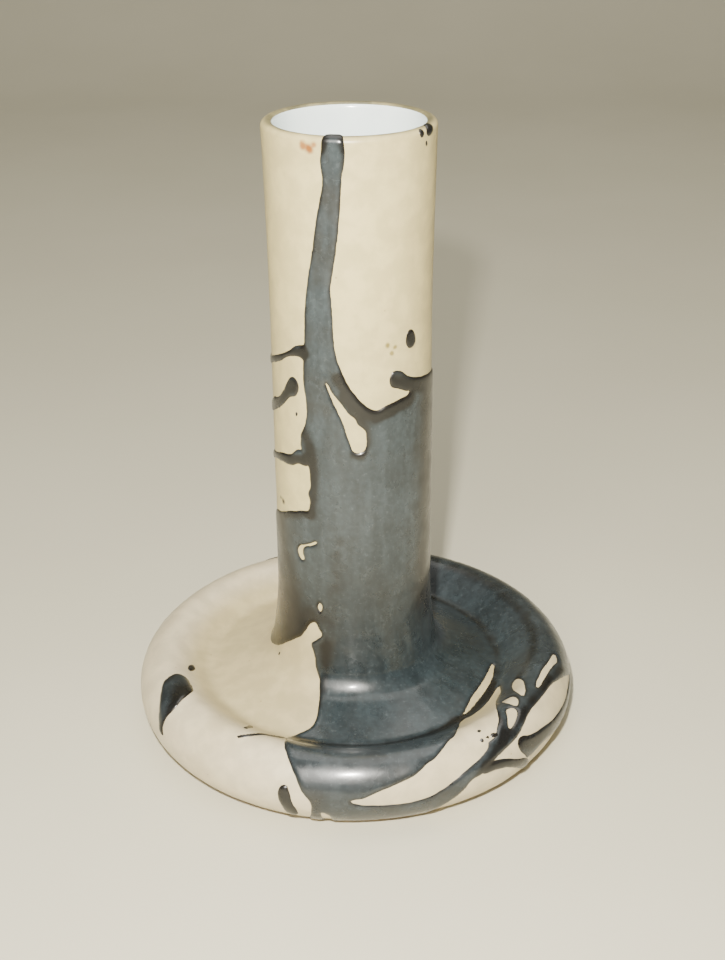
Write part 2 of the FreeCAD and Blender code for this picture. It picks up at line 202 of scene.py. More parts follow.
class Section:
    """Half section of a turned piece, drawn as a chain of edges in the XZ plane and then spun."""

    def __init__(self, start: Point, step: float) -> None:
        """Starts the chain.

        Args:
            start: distance from the axis and height of the first point, in millimetres.
            step: longest edge of the chain, in millimetres.
        """
        self.bm: BMesh = bmesh.new()
        self.run = self.bm.verts.layers.float.new(Layer.RUN.value)
        self.step = step
        self.chain: list[BMVert] = [self.bm.verts.new((start[0] * MM, 0.0, start[1] * MM))]

    @property
    def tip(self) -> BMVert:
        """Last point of the chain."""
        return self.chain[-1]

    def line(self, end: Point) -> "Section":
        """Draws a straight stretch to an end point and returns the section."""
        start = self.tip.co.copy()
        goal = Vector((end[0] * MM, 0.0, end[1] * MM))
        count = max(1, math.ceil((goal - start).length / (self.step * MM)))
        for number in range(1, count + 1):
            grown = bmesh.ops.extrude_vert_indiv(self.bm, verts=[self.tip])
            self.chain.append(grown["verts"][0])
            self.tip.co = start.lerp(goal, number / count)
        return self

    def arc(self, centre: Point, degrees: float, finest: float = math.inf) -> "Section":
        """Draws a round stretch from the tip.

        Args:
            centre: centre of the round, in millimetres.
            degrees: how far it turns, positive from outwards to upwards.
            finest: longest edge of this stretch, where it is shorter than the chain's.

        Returns:
            The section.
        """
        middle = Vector((centre[0] * MM, 0.0, centre[1] * MM))
        length = (self.tip.co - middle).length * math.radians(abs(degrees))
        count = max(2, math.ceil(length / (min(self.step, finest) * MM)))
        before = len(self.bm.verts)
        bmesh.ops.spin(
            self.bm,
            geom=[self.tip],
            cent=middle,
            axis=(0.0, -1.0, 0.0),
            angle=math.radians(degrees),
            steps=count,
            use_duplicate=False,
        )
        self.chain.extend(list(self.bm.verts)[before:])
        return self

    def measure(self, first: float) -> "Section":
        """Writes the run on every point, from its value at the first point, and returns the section."""
        run = first
        self.chain[0][self.run] = run
        for behind, ahead in zip(self.chain, self.chain[1:]):
            run -= (ahead.co - behind.co).length / MM
            ahead[self.run] = run
        return self

    def turned(self, steps: int) -> BMesh:
        """Spins the chain about the pot's axis.

        Args:
            steps: number of facets round the pot.

        Returns:
            The spun mesh, with its seam and poles closed and its faces pointing outwards.
        """
        bmesh.ops.spin(
            self.bm,
            geom=[*self.bm.verts, *self.bm.edges],
            cent=(0.0, 0.0, 0.0),
            axis=(0.0, 0.0, 1.0),
            angle=math.tau,
            steps=steps,
            use_merge=True,
            use_duplicate=False,
        )
        on_axis = [vert for vert in self.bm.verts if vert.co.xy.length < 0.001 * MM]
        if on_axis:
            bmesh.ops.remove_doubles(self.bm, verts=on_axis, dist=0.01 * MM)
        bmesh.ops.recalc_face_normals(self.bm, faces=self.bm.faces)
        return self.bm


@dataclass(frozen=True)
class Skin:
    """Draws the stretches of the pot's section at a distance off the bare clay.

    Attributes:
        off: distance off the bare outside of the clay, in millimetres, negative on the inside.
        pot: sizes of the pot.
        lip_step: longest edge on the lip's round, in millimetres.
    """

    off: float
    pot: PotSizes = POT
    lip_step: float = 0.35

    def rim_end(self, height: float) -> Point:
        """Point of the rim's outer round at a height below its middle."""
        reach = self.pot.roll_radius + self.off
        centre = self.pot.roll_centre
        return (centre[0] + math.sqrt(reach**2 - (centre[1] - height) ** 2), height)

    def rim_turn(self, height: float) -> float:
        """Degrees of the outer round from a height below its middle up to the crest's round."""
        reach = self.pot.roll_radius + self.off
        below = math.degrees(math.asin((self.pot.roll_centre[1] - height) / reach))
        return self.pot.crest_turn + below

    def crest_run(self, height: float) -> float:
        """Run at the rim's end point, measured from the top of the crest."""
        roll = (self.pot.roll_radius + self.off) * math.radians(self.rim_turn(height))
        crest = (self.pot.crest_radius + self.off) * math.radians(90.0 - self.pot.crest_turn)
        return roll + crest

    def base(self, section: Section, height: float) -> Section:
        """Draws rim, dish and fillet upwards to the start of the neck's collar."""
        pot, off = self.pot, self.off
        dish, flank = math.radians(pot.dish_slope), math.radians(pot.flank_slope)
        valley, fillet = pot.valley_centre, pot.fillet_centre
        section.arc(pot.roll_centre, self.rim_turn(height))
        section.arc(pot.crest_centre, 90.0 + pot.flank_slope - pot.crest_turn)
        reach = pot.valley_radius - off
        section.line((valley[0] + reach * math.sin(flank), valley[1] - reach * math.cos(flank)))
        section.arc(valley, -(pot.dish_slope + pot.flank_slope))
        reach = pot.fillet_radius - off
        section.line((fillet[0] - reach * math.sin(dish), fillet[1] - reach * math.cos(dish)))
        section.arc(fillet, pot.dish_slope + pot.flare_turn - 90.0)
        section.arc((pot.tube_radius + pot.flare_radius, pot.flare_start), -pot.flare_turn)
        return section.line((pot.tube_radius + off, pot.joint_height))

    def neck(self, section: Section) -> Section:
        """Draws the neck upwards from the collar to the level of the lip's centre."""
        pot = self.pot
        section.line((pot.tube_radius + self.off, pot.waist_height))
        rise = pot.lip_centre[1] - pot.waist_height
        bow_centre = (pot.tube_radius + self.off + pot.bow_radius, pot.waist_height)
        return section.arc(bow_centre, -math.degrees(math.asin(rise / pot.bow_radius)))

    def lip(self, section: Section) -> Section:
        """Draws the outer part of the lip's round, over its top to the liner."""
        return section.arc(self.pot.lip_centre, 90.0 + self.pot.liner_turn, self.lip_step)

    def outside(self, low: float, step: float, to_lip: bool) -> Section:
        """Draws the outside upwards from the rim's wall and measures its run.

        Args:
            low: height of the first point, in millimetres.
            step: longest edge, in millimetres.
            to_lip: True to go on over the lip, False to stop at the neck's collar.

        Returns:
            The measured section.
        """
        section = self.base(Section(self.rim_end(low), step), low)
        if to_lip:
            self.lip(self.neck(section))
        return section.measure(self.crest_run(low))


# Mesh helpers -----------------------------------------------------------------------------------------


def waver(place: Vector) -> float:
    """Unevenness of a hand-dipped coat at a place in metres, in millimetres: slow waves and quick ripples."""
    wave_width, ripple_width = 34.0 * MM, 7.5 * MM
    wave = noise.noise(place / wave_width)
    ripple = noise.noise(place / ripple_width + Vector((5.0, 1.0, 3.0)))
    return 0.16 * wave + 0.045 * ripple


def dip(bm: BMesh) -> None:
    """Makes an even sheet as uneven as a hand-dipped coat."""
    bm.normal_update()
    for vert in bm.verts:
        vert.co += vert.normal * (waver(vert.co) * MM)


def shell(bm: BMesh, front: Callable[[BMVert], float], back: Callable[[BMVert], float]) -> None:
    """Makes a closed shell of an open sheet.

    Args:
        bm: the sheet, whose normals point to the front.
        front: millimetres along the normal from the sheet to the front, for each point.
        back: millimetres along the normal from the sheet to the back, for each point.
    """
    bm.normal_update()
    way = bm.verts.layers.float_vector.new(Layer.WAY.value)
    for vert in bm.verts:
        vert[way] = vert.normal
    grown = bmesh.ops.extrude_face_region(bm, geom=[*bm.faces, *bm.edges, *bm.verts], use_keep_orig=True)
    fronts = {item for item in grown["geom"] if isinstance(item, BMVert)}
    for vert in bm.verts:
        lift = front(vert) if vert in fronts else back(vert)
        vert.co += vert[way] * (lift * MM)
    bmesh.ops.remove_doubles(bm, verts=bm.verts, dist=WELD)
    bmesh.ops.recalc_face_normals(bm, faces=bm.faces)
    for line in bm.edges:
        line.smooth = line.calc_face_angle(0.0) < SHARP
    bm.verts.layers.float_vector.remove(bm.verts.layers.float_vector[Layer.WAY.value])


def finished(bm: BMesh, name: str, finish: bpy.types.Material, slot: Slot, *nodes: str) -> bpy.types.Object:
    """Makes an object of a mesh, gives it its finish and ties it to the frame.

    Args:
        bm: the finished mesh, which is freed.
        name: name of the piece.
        finish: its material.
        slot: material slot of the record that it belongs to; not used.
        nodes: clay model nodes that it stands for.

    Returns:
        The object.
    """
    mesh = bpy.data.meshes.new(name)
    for face in bm.faces:
        face.smooth = True
    bm.to_mesh(mesh)
    bm.free()
    mesh.materials.append(finish)
    piece = bpy.data.objects.new(name, mesh)
    bpy.context.scene.collection.objects.link(piece)
    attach(piece, "root")
    if nodes:
        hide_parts(*nodes)
    triangles = sum(len(face.vertices) - 2 for face in mesh.polygons)
    LOG.info("%s: %d triangles, stands for %s", name, triangles, ", ".join(nodes) or "nothing")
    return piece


# Materials --------------------------------------------------------------------------------------------


def linear(code: str) -> Colour:
    """Linear colour of an sRGB hex code such as "#d8cdb0"."""
    parts = [int(code[place : place + 2], 16) / 255 for place in (1, 3, 5)]
    light = [part / 12.92 if part <= 0.04045 else ((part + 0.055) / 1.055) ** 2.4 for part in parts]
    return (*light, 1.0)


def levels(low: float, high: float, start: float = 0.0, end: float = 1.0) -> dict[int, float]:
    """Inputs of a range that goes from start to end as its value goes from low to high."""
    return dict(enumerate((low, high, start, end), 1))


class Recipe:
    """A finish while it is being mixed: its material, its node tree and its colour so far."""

    def __init__(self, finish: "Finish") -> None:
        """Starts the material with the name and the uniform values of a finish."""
        self.material = bpy.data.materials.new(finish.name)
        self.material.use_nodes = True
        self.tree = self.material.node_tree
        self.tree.nodes.clear()
        self.colour: Any = linear("#ffffff")
        self.here = self.add("TexCoord").outputs["Object"]
        uniform = {"Roughness": finish.roughness, "IOR": finish.ior, "Specular IOR Level": finish.specular}
        self.shader = self.add("BsdfPrincipled", uniform)
        self.add("OutputMaterial", {"Surface": self.shader})

    def add(
        self,
        kind: str,
        inputs: dict[int | str, Any] | None = None,
        stops: Sequence[tuple[float, Colour]] = (),
        **settings: Any,
    ) -> bpy.types.Node:
        """Adds a node with its settings, values and links.

        Args:
            kind: Blender's name for the node's type, after its common beginning ShaderNode.
            inputs: for each input, by number or name, a value, a socket, a node, which stands for its first
                output, or None, which leaves the input alone.
            stops: places and colours of a ramp.
            settings: properties of the node.

        Returns:
            The node.
        """
        node = self.tree.nodes.new(f"ShaderNode{kind}")
        for key, value in settings.items():
            setattr(node, key, value)
        for key, value in (inputs or {}).items():
            source = value.outputs[0] if isinstance(value, bpy.types.Node) else value
            if isinstance(source, bpy.types.NodeSocket):
                self.tree.links.new(source, node.inputs[key])
            elif source is not None:
                node.inputs[key].default_value = source
        for number, (place, colour) in enumerate(stops):
            elements = node.color_ramp.elements
            element = elements[number] if number < 2 else elements.new(place)
            element.position = place
            element.color = colour
        return node

    def grains(self, size: float, detail: float = 3.0, place: Any = None) -> dict[str, Any]:
        """Inputs of a noise whose grains are size millimetres wide, read at a place or at the surface."""
        return {"Vector": self.here if place is None else place, "Scale": 0.5 / (size * MM), "Detail": detail}

    def uneven(
        self, size: float, span: dict[int, float], detail: float = 3.0, place: Any = None
    ) -> bpy.types.Node:
        """Value that varies in grains over the surface.

        Args:
            size: width of a grain in millimetres.
            span: the levels of the noise and the values there, as levels gives them.
            detail: how many finer sizes of grain lie on top.
            place: where the noise is read, if not at the surface.

        Returns:
            The node that gives the value.
        """
        grain = self.add("TexNoise", self.grains(size, detail, place))
        return self.add("MapRange", {0: grain, **span}, **SMOOTH)

    def tint(self, code: str, *shares: Any) -> None:
        """Blends the colour so far towards a hex colour by the product of the shares."""
        share = shares[0]
        for other in shares[1:]:
            share = self.add("Math", {0: share, 1: other}, operation="MULTIPLY")
        inputs = {0: share, 6: self.colour, 7: linear(code)}
        self.colour = self.add("Mix", inputs, data_type="RGBA").outputs[2]

    def shade(self, factor: Any) -> None:
        """Multiplies the colour so far by a factor."""
        grey = self.add("CombineColor", dict.fromkeys(range(3), factor))
        inputs = {0: 1.0, 6: self.colour, 7: grey}
        self.colour = self.add("Mix", inputs, data_type="RGBA", blend_type="MULTIPLY").outputs[2]

    def done(self, *reliefs: tuple[Any, float, float], roughness: Any = None) -> bpy.types.Material:
        """Joins what was mixed to the shader.

        Args:
            reliefs: heights that lie over one another, each with its strength and its depth in millimetres.
            roughness: node of an uneven roughness.

        Returns:
            The material.
        """
        normal = None
        for height, strength, depth in reliefs:
            values = {"Height": height, "Strength": strength, "Distance": depth * MM, "Normal": normal}
            normal = self.add("Bump", values)
        self.tree.links.new(self.colour, self.shader.inputs["Base Color"])
        for name, node in (("Roughness", roughness), ("Normal", normal)):
            if node is not None:
                self.tree.links.new(node.outputs[0], self.shader.inputs[name])
        return self.material


@dataclass(frozen=True)
class Finish:
    """What every finish shares: a name and the uniform values of its shader."""

    name: str = "finish"
    roughness: float = 0.4
    specular: float = 0.5
    ior: float = 1.5


@dataclass(frozen=True)
class Stain:
    """Small soft mark in a glaze: its place on the skin, its radius in millimetres and its colour."""

    turn: float
    run: float
    radius: float
    colour: str
    strength: float


@dataclass(frozen=True)
class CreamGlaze(Finish):
    """Stoneware feldspar glaze, dipped: a warm satin cream that breaks brown where it is thin on the lip."""

    name: str = "cream_feldspar_glaze"
    roughness: float = 0.34
    neck: str = "#cfc08a"
    base: str = "#cbbfa0"
    # Darker, yellower cream of the dish: painted shade and painted yellow bounce light.
    dish: str = "#b5a678"
    cloud: str = "#bcac7e"
    iron: str = "#8a7350"
    lip: str = "#5f5c44"
    stains: tuple[Stain, ...] = ()

    def make(self) -> bpy.types.Material:
        """Mixes the glaze."""
        mix = Recipe(self)
        run = mix.add("Attribute", attribute_name=Layer.RUN.value).outputs["Fac"]
        # The coat pooled whiter on the base and stayed warmer on the neck; the darker, yellower cream in the
        # dish is painted shade and painted yellow bounce light.
        mix.colour = linear(self.base)
        mix.tint(self.dish, mix.add("MapRange", {0: run, **levels(-11.0, -3.0, 0.75, 0.0)}, **SMOOTH))
        mix.tint(self.neck, mix.add("MapRange", {0: run, **levels(-75.0, -40.0, 1.0, 0.0)}, **SMOOTH))
        # Clouds a few centimetres wide from uneven dipping.
        mix.tint(self.cloud, mix.uneven(26.0, levels(0.42, 0.72, 0.0, 0.42)))
        # Pale mottle at 2.5 mm where the glaze crystals gathered.
        mix.shade(mix.uneven(2.5, levels(0.35, 0.68, 0.90, 1.05), detail=4.0))
        # Iron specks of 0.5 mm, a few in each square centimetre.
        cells = mix.add("TexVoronoi", {"Vector": mix.here, "Scale": 1.0 / (4.2 * MM), "Randomness": 1.0})
        speck = mix.add("MapRange", {0: cells, **levels(0.035, 0.085, 0.55, 0.0)}, **SMOOTH)
        mix.tint(self.iron, speck, mix.uneven(9.0, levels(0.52, 0.60), detail=1.0))
        # The coat breaks brown over the lip's edge, where it is thinnest.
        thin = mix.add("MapRange", {0: run, **levels(-192.4, -190.6, 1.0, 0.0)}, **SMOOTH)
        fade = mix.add("MapRange", {0: run, **levels(-194.4, -193.6, 0.6, 1.0)}, **SMOOTH)
        mix.tint(self.lip, thin, fade, mix.uneven(4.0, levels(0.3, 0.7, 0.45, 0.95)))
        # Each stain has a ragged edge and fades over about its own radius.
        ragged = mix.add("TexNoise", mix.grains(1.2))
        for stain in self.stains:
            middle, radius = place_on_skin(stain.turn, stain.run), stain.radius * MM
            gap = mix.add("VectorMath", {0: mix.here, 1: middle}, operation="DISTANCE").outputs["Value"]
            reach = mix.add("Math", {0: ragged, 1: radius, 2: gap}, operation="MULTIPLY_ADD")
            span = levels(0.75 * radius, 1.6 * radius, stain.strength, 0.0)
            mix.tint(stain.colour, mix.add("MapRange", {0: reach, **span}, **SMOOTH))
        # Orange peel of 1.6 mm and pinholes of 0.3 mm.
        peel = mix.add("TexNoise", mix.grains(1.6, 2.0))
        pin = mix.add("MapRange", {0: cells, **levels(0.02, 0.06)}, **SMOOTH)
        rough = mix.uneven(5.0, levels(0.3, 0.7, self.roughness - 0.06, self.roughness + 0.08))
        return mix.done((peel, 0.12, 0.12), (pin, 0.35, 0.06), roughness=rough)


@dataclass(frozen=True)
class SlateGlaze(Finish):
    """Iron and cobalt glaze, poured: satin slate blue where thick, brown-black where it thins to an edge."""

    name: str = "slate_iron_glaze"
    roughness: float = 0.30
    gloss: float = 0.35
    gloss_roughness: float = 0.14
    rim: str = "#1c1712"
    # Brown-black of thin glaze, also the colour of the painted shade.
    thin: str = "#131210"
    high: str = "#394144"
    middle: str = "#323a3d"
    low: str = "#2a3133"
    dish: str = "#252e31"
    wall: str = "#2f3538"
    rust: str = "#2f2a22"
    fleck: str = "#9aa4a8"

    def make(self) -> bpy.types.Material:
        """Mixes the glaze."""
        mix = Recipe(self)
        mix.shader.inputs["Coat Weight"].default_value = self.gloss
        mix.shader.inputs["Coat Roughness"].default_value = self.gloss_roughness
        run, edge, thin = (
            mix.add("Attribute", attribute_name=layer.value).outputs["Fac"]
            for layer in (Layer.RUN, Layer.EDGE, Layer.THIN)
        )
        drift = mix.add("Attribute", attribute_name=Layer.DRIFT.value).outputs["Vector"]
        # Colour down the pot from the lip to the rim's wall: darker on the lower neck, darkest in the dish.
        along = mix.add("MapRange", {0: run, **levels(-192.0, 26.0)})
        places = (0.0, 0.42, 0.47, 0.60, 0.76, 0.93)
        codes = (self.high, self.middle, self.high, self.low, self.dish, self.wall)
        stops = [(place, linear(code)) for place, code in zip(places, codes)]
        mix.colour = mix.add("ValToRGB", {0: along}, stops).outputs["Color"]
        # Clouds of 14 mm, streaks that follow the flow, and a fine mottle of 0.8 mm from the crystals.
        mix.shade(mix.uneven(14.0, levels(0.32, 0.70, 0.78, 1.16)))
        mix.shade(mix.uneven(1.1, levels(0.34, 0.68, 0.84, 1.14), place=drift))
        mix.shade(mix.uneven(0.8, levels(0.34, 0.66, 0.84, 1.14)))
        # Rusty breath where the iron came up, mostly near the edges.
        near = mix.add("MapRange", {0: edge, **levels(1.0, 6.0, 0.55, 0.10)}, **SMOOTH)
        mix.tint(self.rust, mix.uneven(8.0, levels(0.46, 0.72)), near)
        # Pale crystal flecks of 0.45 mm, drawn as coarse as they need to show.
        mix.tint(self.fleck, mix.uneven(0.45, levels(0.58, 0.74, 0.0, 0.06), detail=2.0))
        # Brown-black where the coat is thin and where shade is painted in the valley and on the neck's sides,
        # in patches, and faintly along every edge.
        wander = mix.add("TexNoise", mix.grains(2.2))
        patchy_thin_and_shade = mix.add("MapRange", {0: wander, **levels(0.25, 0.75, -0.14, 0.14)}, **SMOOTH)
        patchy_thin_and_shade = mix.add("Math", {0: thin, 1: patchy_thin_and_shade}, operation="ADD")
        mix.tint(self.thin, mix.add("MapRange", {0: patchy_thin_and_shade, **levels(0.08, 0.80, 0.0, 0.95)}, **SMOOTH))
        inside = mix.add("Math", {0: wander, 1: -1.0, 2: edge}, operation="MULTIPLY_ADD")
        mix.tint(self.rim, mix.add("MapRange", {0: inside, **levels(-0.45, 0.5, 0.62, 0.0)}, **SMOOTH))
        # Orange peel of 1.3 mm and grit of 0.4 mm.
        peel = mix.add("TexNoise", mix.grains(1.3))
        grit = mix.add("TexNoise", mix.grains(0.4, 2.0))
        rough = mix.uneven(3.0, levels(0.3, 0.7, self.roughness - 0.06, self.roughness + 0.09))
        return mix.done((peel, 0.22, 0.14), (grit, 0.16, 0.05), roughness=rough)


@dataclass(frozen=True)
class LinerGlaze(Finish):
    """Tin-white liner, poured in and out: smooth, glossy and faintly blue."""

    name: str = "tin_white_liner_glaze"
    roughness: float = 0.2
    white: str = "#ebf5f2"
    pool: str = "#dbe6e5"

    def make(self) -> bpy.types.Material:
        """Mixes the glaze, with pools of 9 mm and an orange peel of 2 mm."""
        mix = Recipe(self)
        mix.colour = linear(self.white)
        mix.tint(self.pool, mix.uneven(9.0, levels(0.35, 0.7, 0.0, 0.6)))
        return mix.done((mix.add("TexNoise", mix.grains(2.0, 2.0)), 0.15, 0.1))


@dataclass(frozen=True)
class FiredClay(Finish):
    """Bare stoneware body, turned and fired: matt buff with dark grit and faint turning rings."""

    name: str = "fired_stoneware_body"
    roughness: float = 0.85
    specular: float = 0.3
    buff: str = "#b9a482"
    toast: str = "#a08460"
    grit: str = "#5b4a37"

    def make(self) -> bpy.types.Material:
        """Mixes the clay."""
        mix = Recipe(self)
        mix.colour = linear(self.buff)
        mix.tint(self.toast, mix.uneven(16.0, levels(0.35, 0.7)))
        cells = mix.add("TexVoronoi", {"Vector": mix.here, "Scale": 1.0 / (1.8 * MM)})
        mix.tint(self.grit, mix.add("MapRange", {0: cells, **levels(0.10, 0.2, 0.8, 0.0)}, **SMOOTH))
        # Turning rings 1.2 mm apart about the pot's axis, and sand of 0.5 mm.
        waves = {"Vector": mix.here, "Scale": 1.0 / (20.0 * 1.2 * MM), "Distortion": 0.6, "Detail": 1.0}
        rings = mix.add("TexWave", waves, wave_type="RINGS", rings_direction="Z").outputs["Fac"]
        sand = mix.add("TexNoise", mix.grains(0.5))
        return mix.done((rings, 0.3, 0.12), (sand, 0.5, 0.1))


@dataclass(frozen=True)
class PaintedBoard(Finish):
    """Plain pale board for the floor."""

    name: str = "pale_board"
    roughness: float = 0.7
    specular: float = 0.25
    pale: str = "#cfcab4"
    worn: str = "#c3bea6"

    def make(self) -> bpy.types.Material:
        """Mixes the paint."""
        mix = Recipe(self)
        mix.colour = linear(self.pale)
        mix.tint(self.worn, mix.uneven(60.0, levels(0.3, 0.7, 0.0, 0.25)))
        return mix.done()


# Outlines of the dark glaze ---------------------------------------------------------------------------


def place_on_skin(turn: float, run: float) -> Vector:
    """Place on the cream coat's outside, in metres, at a turn and a run."""
    section = Skin(POT.coat).outside(POT.foot_height, 0.5, to_lip=True)
    nearest = min(section.chain, key=lambda vert: abs(vert[section.run] - run))
    out, height = nearest.co.x, nearest.co.z
    section.bm.free()
    angle = math.radians(turn)
    return Vector((out * math.sin(angle), -out * math.cos(angle), height))


def collar_run() -> float:
    """Run of the seam where the neck's straight side begins."""
    section = Skin(POT.coat).outside(POT.foot_height, 1.0, to_lip=False)
    run = section.tip[section.run]
    section.bm.free()
    return run


COLLAR_RUN = collar_run()


def on_neck(*corners: Point) -> Corners:
    """Corners given as turn and height, as corners of turn and run."""
    return tuple((turn, COLLAR_RUN - (height - POT.joint_height)) for turn, height in corners)


@dataclass(frozen=True)
class Spots:
    """Points on the skin: turn in degrees, run and distance from the axis in millimetres."""

    turn: np.ndarray
    run: np.ndarray
    radius: np.ndarray

    def near(self, line: np.ndarray, reach: float, shift: float = 0.0) -> list[np.ndarray]:
        """Finds the points close to a line.

        Args:
            line: rows of turn and run.
            reach: millimetres to look beyond the line's highest and lowest values.
            shift: degrees added to every turn first.

        Returns:
            The numbers of the points, in groups of a few thousand that fit in memory.
        """
        low, high = line.min(axis=0), line.max(axis=0)
        turn, spare = self.turn + shift, np.degrees(reach / self.radius)
        close = (turn > low[0] - spare) & (turn < high[0] + spare)
        close &= (self.run > low[1] - reach) & (self.run < high[1] + reach)
        rows = np.nonzero(close)[0]
        return np.array_split(rows, len(rows) // 4000 + 1)

    def gap(self, rows: np.ndarray, line: np.ndarray, closed: bool, shift: float = 0.0) -> np.ndarray:
        """Distance of some points to a chain of straight stretches.

        Args:
            rows: numbers of the points.
            line: rows of turn and run.
            closed: True if the last row joins the first.
            shift: degrees added to every turn first.

        Returns:
            Millimetres to the line, below zero for a point inside a closed line.
        """
        turn, run = self.turn[rows, None] + shift, self.run[rows, None]
        scale = self.radius[rows, None] * math.pi / 180.0
        first, second = (line, np.roll(line, -1, 0)) if closed else (line[:-1], line[1:])
        start_x, start_y = (first[:, 0] - turn) * scale, first[:, 1] - run
        end_x, end_y = (second[:, 0] - turn) * scale, second[:, 1] - run
        step_x, step_y = end_x - start_x, end_y - start_y
        length = step_x**2 + step_y**2 + 1e-12
        share = np.clip(-(start_x * step_x + start_y * step_y) / length, 0.0, 1.0)
        gap = np.hypot(start_x + share * step_x, start_y + share * step_y).min(axis=1)
        if not closed:
            return gap
        crosses = (start_y > 0) != (end_y > 0)
        hit = start_x - start_y * step_x / np.where(step_y == 0, 1e-12, step_y)
        inside = (crosses & (hit > 0)).sum(axis=1) % 2 == 1
        return np.where(inside, -gap, gap)


@dataclass(frozen=True)
class Outline:
    """Smooth closed line on the skin, drawn through given corners of turn and run."""

    corners: Corners
    soft: float = 0.6

    def line(self) -> np.ndarray:
        """Dense points of the smooth line, one row of turn and run each."""
        here = np.array(self.corners, dtype=float)
        # A degree of turn counts as much as 0.6 mm of run.
        weight = np.array((0.6, 1.0))
        before, after, beyond = np.roll(here, 1, 0), np.roll(here, -1, 0), np.roll(here, -2, 0)

        def knot(first: np.ndarray, second: np.ndarray) -> np.ndarray:
            """Centripetal knot step between two rows of points."""
            return np.sqrt(np.linalg.norm((second - first) * weight, axis=1))[:, None] + 1e-6

        back, mid, ahead = knot(before, here), knot(here, after), knot(after, beyond)
        leave = after - here + mid * ((here - before) / back - (after - before) / (back + mid))
        arrive = after - here + mid * ((beyond - after) / ahead - (beyond - here) / (mid + ahead))
        rows = []
        # Six points from each corner to the next.
        for step in np.linspace(0.0, 1.0, 7)[:-1]:
            square, cube = step**2, step**3
            rows.append(
                (2 * cube - 3 * square + 1) * here
                + (cube - 2 * square + step) * leave
                + (3 * square - 2 * cube) * after
                + (cube - square) * arrive
            )
        return np.stack(rows, axis=1).reshape(-1, 2)

    def distance(self, spots: Spots) -> np.ndarray:
        """Millimetres from each spot to the line, below zero inside it, never further than FAR."""
        line = self.line()
        result = np.full(spots.turn.shape, FAR)
        for shift in (-360.0, 0.0, 360.0):
            for rows in spots.near(line, FAR, shift):
                result[rows] = np.minimum(result[rows], spots.gap(rows, line, True, shift))
        return np.maximum(result, -FAR)


def melted(first: np.ndarray, second: np.ndarray, soft: float) -> np.ndarray:
    """Union of two patches of glaze, which flow together where they meet within soft millimetres."""
    share = np.clip(0.5 + 0.5 * (second - first) / soft, 0.0, 1.0)
    return second * (1 - share) + first * share - soft * share * (1 - share)


@dataclass(frozen=True)
class Stroke:
    """Open line along which the dark glaze is darker and browner: mostly where it is thinner, on some lines
    as painted shade.

    Attributes:
        corners: its corners of turn and run.
        reach: how far it spreads to each side, in millimetres.
        strength: how much thinner the glaze is on the line, or for a painted-shade line how much darker,
            below zero where it is thicker.
    """

    corners: Corners
    reach: float
    strength: float

    def share(self, spots: Spots) -> np.ndarray:
        """How thin the glaze is at each spot, or how deep the painted shade, from 0 to strength."""
        line = np.array(self.corners, dtype=float)
        result = np.zeros(spots.turn.shape)
        for rows in spots.near(line, self.reach):
            inner = np.clip(1.0 - spots.gap(rows, line, False) / self.reach, 0.0, 1.0)
            result[rows] = self.strength * inner**2 * (3.0 - 2.0 * inner)
        return result


@dataclass(frozen=True)
class Pattern:
    """Dark glaze as patches that flow together, less the windows that stayed bare."""

    patches: tuple[Outline, ...]
    windows: tuple[Outline, ...] = ()
    strokes: tuple[Stroke, ...] = ()
    thin: float = 0.0

    def thinness_and_shade(self, spots: Spots) -> np.ndarray:
        """How thin the glaze is at each spot, with the painted shade of some strokes added, from 0 to 1."""
        shares = (stroke.share(spots) for stroke in self.strokes)
        return np.clip(sum(shares, np.full(spots.turn.shape, self.thin)), 0.0, 1.0)

    def distance(self, spots: Spots) -> np.ndarray:
        """Millimetres from each spot to the pattern's edge, below zero where the glaze is."""
        result = np.full(spots.turn.shape, FAR)
        for patch in self.patches:
            result = melted(result, patch.distance(spots), patch.soft)
        for window in self.windows:
            result = -melted(-result, window.distance(spots), window.soft)
        return result


